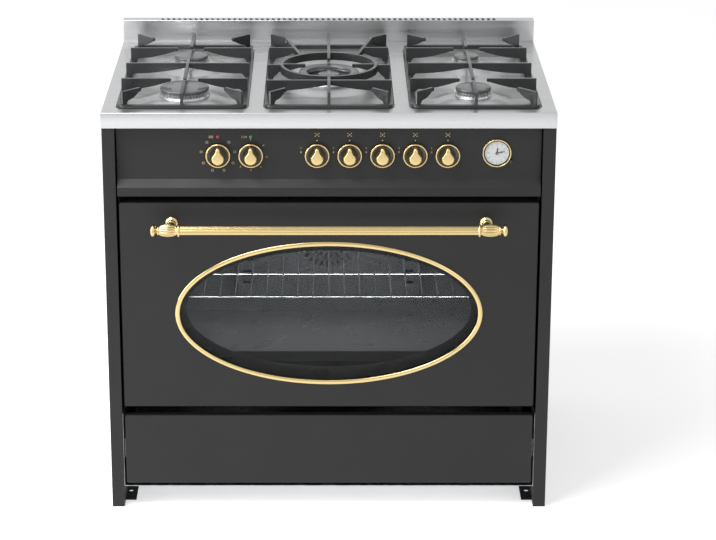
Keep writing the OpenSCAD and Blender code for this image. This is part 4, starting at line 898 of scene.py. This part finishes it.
def build_door(sizes):
    """Door shell, liner, hinges, both panes and the brass ring round the window."""
    refine("door_skin", "paint", 0.9, 3)
    # The liner's finish is darkened enamel: painted shade for the band behind the window glass.
    refine("door_liner", "liner", 0.5)
    refine("door_hinges", "zinc", 0.4)
    for side in ("outer", "inner"):
        node = "door_glass_" + side
        centre, half = centred(node)
        oval = np.stack([half[0] * np.cos(around(128)), half[2] * np.sin(around(128))], 1)
        edge = oval if side == "outer" else rounded_outline(2 * half[0], 2 * half[2], 8)
        pane = on_panel(slab(edge, -2 * half[1], 0, 0.6), centre[0], centre[2], centre[1] - half[1])
        make("glass_%s_pane" % side, [pane], "oven_door", side + "_glass", (node,))
    centre, half = centred("window_ring")
    width = sizes.ring_width / MM
    t = around(200)[None, :]
    profile = outline(arc((0, 0), 1, 180, 0, 11) * [width / 2, 2.7] + [width / 2, 0.5], [width, -1.5],
                      [4.3, -1.5], [4.3, 0], [0, 0])
    inset, rise = profile[:, :1], profile[:, 1:]
    ring = np.stack(np.broadcast_arrays((half[0] - inset) * np.cos(t), FRONT_Y - rise,
                                        centre[2] + (half[2] - inset) * np.sin(t)), -1)
    make("window_band", [surface(ring, wrap_rows=True)], "oven_door", "brass",
         ("window_ring",), 50)


def pleats(a, h):
    """Twelve round pleats on the barrel of a handle end, fading out at both ends of it."""
    swell = np.sin(np.clip((h - 7) / 34, 0, 1) * math.pi)
    return 2.3 * np.sqrt(np.abs(np.sin(a * 6))) * swell ** 0.5 - 0.9 * (swell > 0)


def along_x(shape, y, z):
    """A turned shape laid along X at a depth and a height."""
    p = shape[0]
    return np.stack([p[:, 2], p[:, 0] + y, p[:, 1] + z], 1), shape[1]


def build_handle(sizes):
    """Ribbed brass bar between two turned ends, each with a pleated barrel, ball and rosette."""
    centre, (half, _, radius) = centred("handle_bar")
    bar_y, bar_z = centre[1:]
    ribs = sizes.bar_ribs
    rod_profile = outline([0, -half], [radius, -half], [radius, half], [0, half])
    bar = lathe(rod_profile, ribs * 10, lambda a, h: -1.1 * (1 - np.abs(np.sin(a * ribs / 2)) ** 0.7))
    make("handle_ribbed_bar", [along_x(bar, bar_y, bar_z)], "oven_door", "brass",
         ("handle_bar",), 60)
    barrel, ball = np.linspace(0, math.pi, 14), np.linspace(0.5, math.pi, 16)
    profile = outline([0, 0], [13.0, 0], arc((12.6, 2.4), 1.9, -60, 90, 7), [11.2, 5.4], [10, 6.4],
                      np.column_stack([9.9 + 1.2 * np.sin(barrel), np.linspace(7, 41, 14)]),
                      arc((9.8, 42.9), 1.5, -60, 90, 6), [7.6, 45.0], [6.4, 45.8],
                      np.column_stack([14 * np.sin(ball), 53 - 7 * np.cos(ball)]))
    end = along_x(moved(lathe(profile, 120, pleats), z=half), bar_y, bar_z)
    post_in = 41.0
    post_x, stand = span("handle_ends")[1][0] - post_in, FRONT_Y - bar_y
    post = outline([0, 0], [6.5, 0], [6.0, stand - 16], arc((6.4, stand - 12.5), 1.8, -60, 60, 6),
                   [7.0, stand - 9], [9, stand - 6], arc((10.6, stand - 2.6), 1.9, -50, 50, 6),
                   [12, stand], [0, stand])
    p, quads = lathe(post, 48)
    leg = (np.stack([p[:, 0] + post_x, p[:, 2] + bar_y, p[:, 1] + bar_z], 1), quads)
    one = together([end, leg])
    make("handle_cast_ends", [one, mirrored(one)], "oven_door", "brass", ("handle_ends",), 45)


# Oven


def build_oven():
    """Cavity with its seal, guides, rack, tray, fan, elements and lamp."""
    refine("oven_cavity", "enamel", 0.5)
    refine("fan_cover", "enamel", 0.4)
    refine("oven_tray", "enamel", 0.5)
    refine("insulation", "wool", 2.0)
    refine("fan_blade", "steel", 0.4)
    refine("fan_motor", "alloy", 0.6)
    centre, half = centred("oven_gasket")
    bead, corner = 4.0, 32.0
    seal = rounded_outline(2 * (half[0] - bead), 2 * (half[2] - bead), corner, 10)
    path = np.stack([seal[:, 0] + centre[0], np.full(len(seal), centre[1]), seal[:, 1] + centre[2]], 1)
    section = disc_section(1.0, 16) * [half[1] - 0.1, bead]
    make("door_seal", [carried(path, section[:, ::-1], (0, 1, 0), True)], "cabinet",
         "seal", ("oven_gasket",))
    build_rack()
    build_guides()
    build_elements()
    (x, _, z), rear = middle("oven_lamp"), span("oven_lamp")[1][1]
    glass = outline([0, -30], [22, -30], [22, 0.6], [27, 0.6], [27, 4],
                    arc((0, 0), 1, 0, 90, 9) * [24, 16] + [0, 4])
    make("oven_lamp_glass", [on_panel(lathe(glass, 48), x, z, rear - 30)], "cabinet",
         "dial", ("oven_lamp",))


def build_rack():
    """Chromed rack: two side rails, three cross rails and wires from front to back."""
    low, high = span("oven_rack")
    rail, wire, wire_step, bend, brace = 3.0, 1.5, 32.0, 12.0, 140.0
    z, x1 = low[2] + rail, high[0] - rail
    y0, y1 = low[1] + rail - 1, high[1] - rail + 1
    path = eased(np.array([[-x1, y1, z], [-x1, y0, z], [x1, y0, z], [x1, y1, z]]), bend)
    bars = [tube(path, rail, 12)]
    bars += [rod([-x1, y, z], [x1, y, z], rail, 12) for y in (y0 + brace, y1)]
    wire_z = high[2] - wire
    count = int((x1 - 8) // wire_step)
    bars += [rod([x, y0 - 2, wire_z], [x, y1 + 2, wire_z], wire, 8)
             for x in wire_step * np.arange(-count, count + 1)]
    make("wire_rack", bars, "rack", "chrome", ("oven_rack",))


def build_guides():
    """Wire ladders on both walls of the oven."""
    low, high = span("shelf_guides")
    wire, off_wall, inset, foot, rung_step = 2.5, 5.0, 30.0, 20.0, 61.5
    x, rung_x = high[0] - off_wall, high[0] - off_wall - 4.5
    levels = [low[2] + inset + rung_step * k for k in range(5)]
    bars = []
    for y in (low[1] + inset, high[1] - inset):
        bars.append(rod([x, y, low[2]], [x, y, high[2]], wire))
        bars += [rod([x, y, z], [high[0], y, z], wire) for z in (levels[0] - foot, levels[4] + foot)]
    bars += [rod([rung_x, low[1], z], [rung_x, high[1], z], wire) for z in levels]
    one = together(bars)
    make("shelf_ladders", [one, mirrored(one)], "cabinet", "chrome", ("shelf_guides",))


def build_elements():
    """Grill loops under the roof and the ring element round the fan."""
    low, high = span("heating_elements")
    r, bend, outer, inner, inner_set, ring_r, ring_set = 3.5, 30.0, 250.0, 140.0, 60.0, 92.0, 24.0
    z, front, rear = high[2] - r, low[1] + r, high[1]
    loops = []
    for half, y in ((outer, front), (inner, front + inner_set)):
        path = np.array([[-half, rear, z], [-half, y, z], [half, y, z], [half, rear, z]])
        loops.append(tube(eased(path, bend, 8), r, 12))
    ring = arc((0, middle("fan_cover")[2]), ring_r, -80, 260, 60)
    ring = np.insert(ring, 1, span("fan_cover")[0][1] + ring_set, axis=1)
    legs = ring[[0, -1]] * [1, 0, 1] + [0, rear, 0]
    loops.append(tube(np.concatenate([legs[:1], ring, legs[1:]]), r, 12, up=(0, 1, 0.01)))
    make("sheathed_elements", loops, "cabinet", "sheath", ("heating_elements",))


# Drawer and services


def build_drawer():
    """Drawer front, box and slides."""
    refine("drawer_front", "paint", 0.9, 3)
    refine("drawer_box", "zinc", 0.4)
    refine("drawer_slides", "chrome", 0.3)


def build_services():
    """Gas rail with its taps, the tap stems, the gas inlet and the terminal box."""
    refine("gas_rail", "alloy", 0.5)
    refine("gas_inlet", "brass", 0.5)
    refine("terminal_box", "black", 0.8)
    for k in range(1, 6):
        refine("tap_stem_%d" % k, "steel", 0.4)


# Studio


def white_for_eyes(tree, other, strength=1.0):
    """White where the camera, a mirror or glass sees it, and another strength as a light."""
    path = put(tree, "ShaderNodeLightPath")
    either = put(tree, "ShaderNodeMath", {0: path.outputs["Is Camera Ray"],
                                          1: path.outputs["Is Glossy Ray"]}, operation="MAXIMUM")
    seen = put(tree, "ShaderNodeMath", {0: either.outputs[0],
                                        1: path.outputs["Is Transmission Ray"]}, operation="MAXIMUM")
    return put(tree, "ShaderNodeMapRange", {"Value": seen.outputs[0], "To Min": other,
                                            "To Max": strength}).outputs[0]


def softbox(name, place, aim, size, watts):
    """Rectangular area lamp at a place in metres, facing a point."""
    lamp = bpy.data.lights.new(name, "AREA")
    lamp.shape = "RECTANGLE"
    lamp.size, lamp.size_y = size
    lamp.energy = watts
    holder = linked(name, lamp)
    holder.location = place
    direction = Vector(aim) - Vector(place)
    holder.rotation_euler = direction.to_track_quat("-Z", "Y").to_euler()


def build_stage(studio):
    """Pale floor, white surroundings, soft lamps and the camera."""
    scene = bpy.context.scene
    scene.view_settings.view_transform = "Standard"
    world = bpy.data.worlds.new("studio")
    scene.world = world
    world.use_nodes = True
    tree = world.node_tree
    tree.nodes.clear()
    back = put(tree, "ShaderNodeBackground", {"Color": linear("#ffffff"),
                                              "Strength": white_for_eyes(tree, studio.fill)})
    tree.links.new(back.outputs[0], put(tree, "ShaderNodeOutputWorld").inputs[0])
    reach = 30000.0
    edge = np.array([[-reach, -reach], [reach, -reach], [reach, reach], [-reach, reach]])
    points = np.column_stack([edge, np.full(4, -0.2)])
    mesh = bpy.data.meshes.new("floor")
    mesh.from_pydata((points * MM).tolist(), [], [(0, 1, 2, 3)])
    floor = linked("floor", mesh)
    material, tree = new_material("pale_floor")
    matt = put(tree, "ShaderNodeBsdfDiffuse", {"Color": linear("#f2f2f2")})
    glow = put(tree, "ShaderNodeEmission", {"Color": linear("#ffffff"),
                                            "Strength": white_for_eyes(tree, 0.0, studio.floor_glow)})
    both = put(tree, "ShaderNodeAddShader", {0: matt.outputs[0], 1: glow.outputs[0]})
    mesh.materials.append(surfaced(material, both))
    softbox("key", (-2.9, -1.1, 1.5), (0, 0, 0.6), (1.6, 2.0), studio.key)
    softbox("fill", (2.6, -3.6, 2.4), (0, 0, 0.5), (2.4, 2.4), studio.key * 0.3)
    softbox("top", (-1.1, -1.0, 2.7), (-0.2, -0.2, 0.7), (1.6, 1.0), studio.key * 0.8)
    # Stands just inside the oven's mouth, faces in and can't be seen from outside
    low, high = span("oven_cavity")
    mouth = np.array([0, low[1] + 20, high[2] - 60]) * MM
    softbox("oven_light", tuple(mouth), tuple(mouth + [0, 1, -0.35]), (0.6, 0.1), studio.oven)
    aim_camera(studio)


def aim_camera(studio):
    """Camera above and in front, pitched down; its frame is shifted a little to match the photo."""
    data = bpy.data.cameras.new("camera")
    data.sensor_width = 36.0
    data.lens = studio.lens
    data.shift_x = studio.shift_x
    data.shift_y = studio.shift_y
    data.clip_end = 100.0
    camera = linked("camera", data)
    camera.location = (studio.camera_x, FRONT_Y * MM - studio.distance, studio.camera_height)
    camera.rotation_euler = (math.pi / 2 - studio.pitch, 0, 0)
    bpy.context.scene.camera = camera


# Add-on


class CookerSizes(bpy.types.PropertyGroup):
    """Sizes of the finish that a user may change."""

    ring_width: bpy.props.FloatProperty(
        name="Window ring width", description="Width of the brass ring round the window",
        default=0.0096, min=0.004, max=0.02, unit="LENGTH", precision=4)
    bar_ribs: bpy.props.IntProperty(
        name="Bar ribs", description="Number of ribs round the handle bar", default=10, min=8, max=24)


class CookerColours(bpy.types.PropertyGroup):
    """Colours of the finishes, as sRGB hex."""

    paint: bpy.props.StringProperty(
        name="Paint", description="Anthracite powder coat of the body", default="#1b1b1c")
    steel: bpy.props.StringProperty(
        name="Steel", description="Brushed stainless of the worktop", default="#bdbebf")
    brass: bpy.props.StringProperty(
        name="Brass", description="Ring, handle and knobs", default="#cfb985")
    enamel: bpy.props.StringProperty(
        name="Oven enamel", description="Inside of the oven and door", default="#424346")
    iron: bpy.props.StringProperty(
        name="Cast iron", description="Pan supports", default="#28292a")


class CookerStudio(bpy.types.PropertyGroup):
    """Camera and light of the studio."""

    distance: bpy.props.FloatProperty(
        name="Distance", description="From the lens to the front of the door", default=4.5,
        unit="LENGTH")
    camera_x: bpy.props.FloatProperty(
        name="Sideways", description="Camera's place across the front", default=-0.007, unit="LENGTH")
    camera_height: bpy.props.FloatProperty(
        name="Height", description="Camera's height above the floor", default=2.128, unit="LENGTH")
    pitch: bpy.props.FloatProperty(
        name="Pitch", description="How far the camera looks down", default=math.radians(18.27),
        subtype="ANGLE")
    lens: bpy.props.FloatProperty(
        name="Lens", description="Focal length on a 36 mm sensor", default=119.5)
    shift_x: bpy.props.FloatProperty(
        name="Shift across", description="Frame shift that leaves room on the right", default=0.0455)
    shift_y: bpy.props.FloatProperty(
        name="Shift up", description="Frame shift that keeps uprights closer to parallel",
        default=-0.0796)
    key: bpy.props.FloatProperty(
        name="Key light", description="Power of the key lamp in watts", default=70.0)
    oven: bpy.props.FloatProperty(
        name="Oven light", description="Power of the light inside the oven in watts", default=7.0)
    fill: bpy.props.FloatProperty(
        name="Surrounding light", description="Light from all round on the object", default=0.45)
    floor_glow: bpy.props.FloatProperty(
        name="Floor white", description="Lift that keeps the floor white", default=0.52)


class CookerSettings(bpy.types.PropertyGroup):
    """All settings of the cooker's finish."""

    sizes: bpy.props.PointerProperty(type=CookerSizes)
    colours: bpy.props.PointerProperty(type=CookerColours)
    studio: bpy.props.PointerProperty(type=CookerStudio)


class COOKER_OT_finishes(bpy.types.Operator):
    """Makes the materials"""

    bl_idname = "cooker.finishes"
    bl_label = "Finishes"

    def execute(self, context):
        prepare_finishes(context.scene.cooker.colours)
        return {"FINISHED"}


class COOKER_OT_body(bpy.types.Operator):
    """Makes the carcass of painted and galvanised sheet"""

    bl_idname = "cooker.body"
    bl_label = "Body"

    def execute(self, context):
        build_body()
        return {"FINISHED"}


class COOKER_OT_worktop(bpy.types.Operator):
    """Makes the pressed worktop and its upstand"""

    bl_idname = "cooker.worktop"
    bl_label = "Worktop"

    def execute(self, context):
        build_worktop()
        return {"FINISHED"}


class COOKER_OT_burners(bpy.types.Operator):
    """Makes the five burners"""

    bl_idname = "cooker.burners"
    bl_label = "Burners"

    def execute(self, context):
        build_burners()
        return {"FINISHED"}


class COOKER_OT_supports(bpy.types.Operator):
    """Makes the three cast pan supports"""

    bl_idname = "cooker.supports"
    bl_label = "Pan supports"

    def execute(self, context):
        build_pan_supports()
        return {"FINISHED"}


class COOKER_OT_panel(bpy.types.Operator):
    """Makes the control panel with its print and lamps"""

    bl_idname = "cooker.panel"
    bl_label = "Control panel"

    def execute(self, context):
        build_control_panel()
        return {"FINISHED"}


class COOKER_OT_knobs(bpy.types.Operator):
    """Makes the seven knobs"""

    bl_idname = "cooker.knobs"
    bl_label = "Knobs"

    def execute(self, context):
        build_knobs()
        return {"FINISHED"}


class COOKER_OT_clock(bpy.types.Operator):
    """Makes the clock"""

    bl_idname = "cooker.clock"
    bl_label = "Clock"

    def execute(self, context):
        build_clock()
        return {"FINISHED"}


class COOKER_OT_door(bpy.types.Operator):
    """Makes the oven door and its window"""

    bl_idname = "cooker.door"
    bl_label = "Door"

    def execute(self, context):
        build_door(context.scene.cooker.sizes)
        return {"FINISHED"}


class COOKER_OT_handle(bpy.types.Operator):
    """Makes the brass handle"""

    bl_idname = "cooker.handle"
    bl_label = "Handle"

    def execute(self, context):
        build_handle(context.scene.cooker.sizes)
        return {"FINISHED"}


class COOKER_OT_oven(bpy.types.Operator):
    """Makes the inside of the oven"""

    bl_idname = "cooker.oven"
    bl_label = "Oven"

    def execute(self, context):
        build_oven()
        return {"FINISHED"}


class COOKER_OT_drawer(bpy.types.Operator):
    """Makes the drawer"""

    bl_idname = "cooker.drawer"
    bl_label = "Drawer"

    def execute(self, context):
        build_drawer()
        return {"FINISHED"}


class COOKER_OT_services(bpy.types.Operator):
    """Makes the gas and electric fittings"""

    bl_idname = "cooker.services"
    bl_label = "Services"

    def execute(self, context):
        build_services()
        return {"FINISHED"}


class COOKER_OT_stage(bpy.types.Operator):
    """Makes the floor, lights and camera"""

    bl_idname = "cooker.stage"
    bl_label = "Stage"

    def execute(self, context):
        build_stage(context.scene.cooker.studio)
        return {"FINISHED"}


STEPS = (COOKER_OT_finishes, COOKER_OT_body, COOKER_OT_worktop, COOKER_OT_burners, COOKER_OT_supports,
         COOKER_OT_panel, COOKER_OT_knobs, COOKER_OT_clock, COOKER_OT_door, COOKER_OT_handle,
         COOKER_OT_oven, COOKER_OT_drawer, COOKER_OT_services, COOKER_OT_stage)


class COOKER_PT_panel(bpy.types.Panel):
    """Lists the steps and the settings"""

    bl_label = "Range cooker"
    bl_space_type = "VIEW_3D"
    bl_region_type = "UI"
    bl_category = "Cooker"

    def draw(self, context):
        settings = context.scene.cooker
        for group in (settings.sizes, settings.colours, settings.studio):
            for name in group.__annotations__:
                self.layout.prop(group, name)
        for step in STEPS:
            self.layout.operator(step.bl_idname)


CLASSES = (CookerSizes, CookerColours, CookerStudio, CookerSettings, *STEPS, COOKER_PT_panel)


def register():
    """Adds the classes and the settings to Blender."""
    for part in CLASSES:
        bpy.utils.register_class(part)
    bpy.types.Scene.cooker = bpy.props.PointerProperty(type=CookerSettings)


def unregister():
    """Takes the classes and the settings out of Blender."""
    del bpy.types.Scene.cooker
    for part in reversed(CLASSES):
        bpy.utils.unregister_class(part)


def main():
    register()
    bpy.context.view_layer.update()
    for step in STEPS:
        group, name = step.bl_idname.split(".")
        getattr(getattr(bpy.ops, group), name)()


if __name__ == "__main__":
    main()
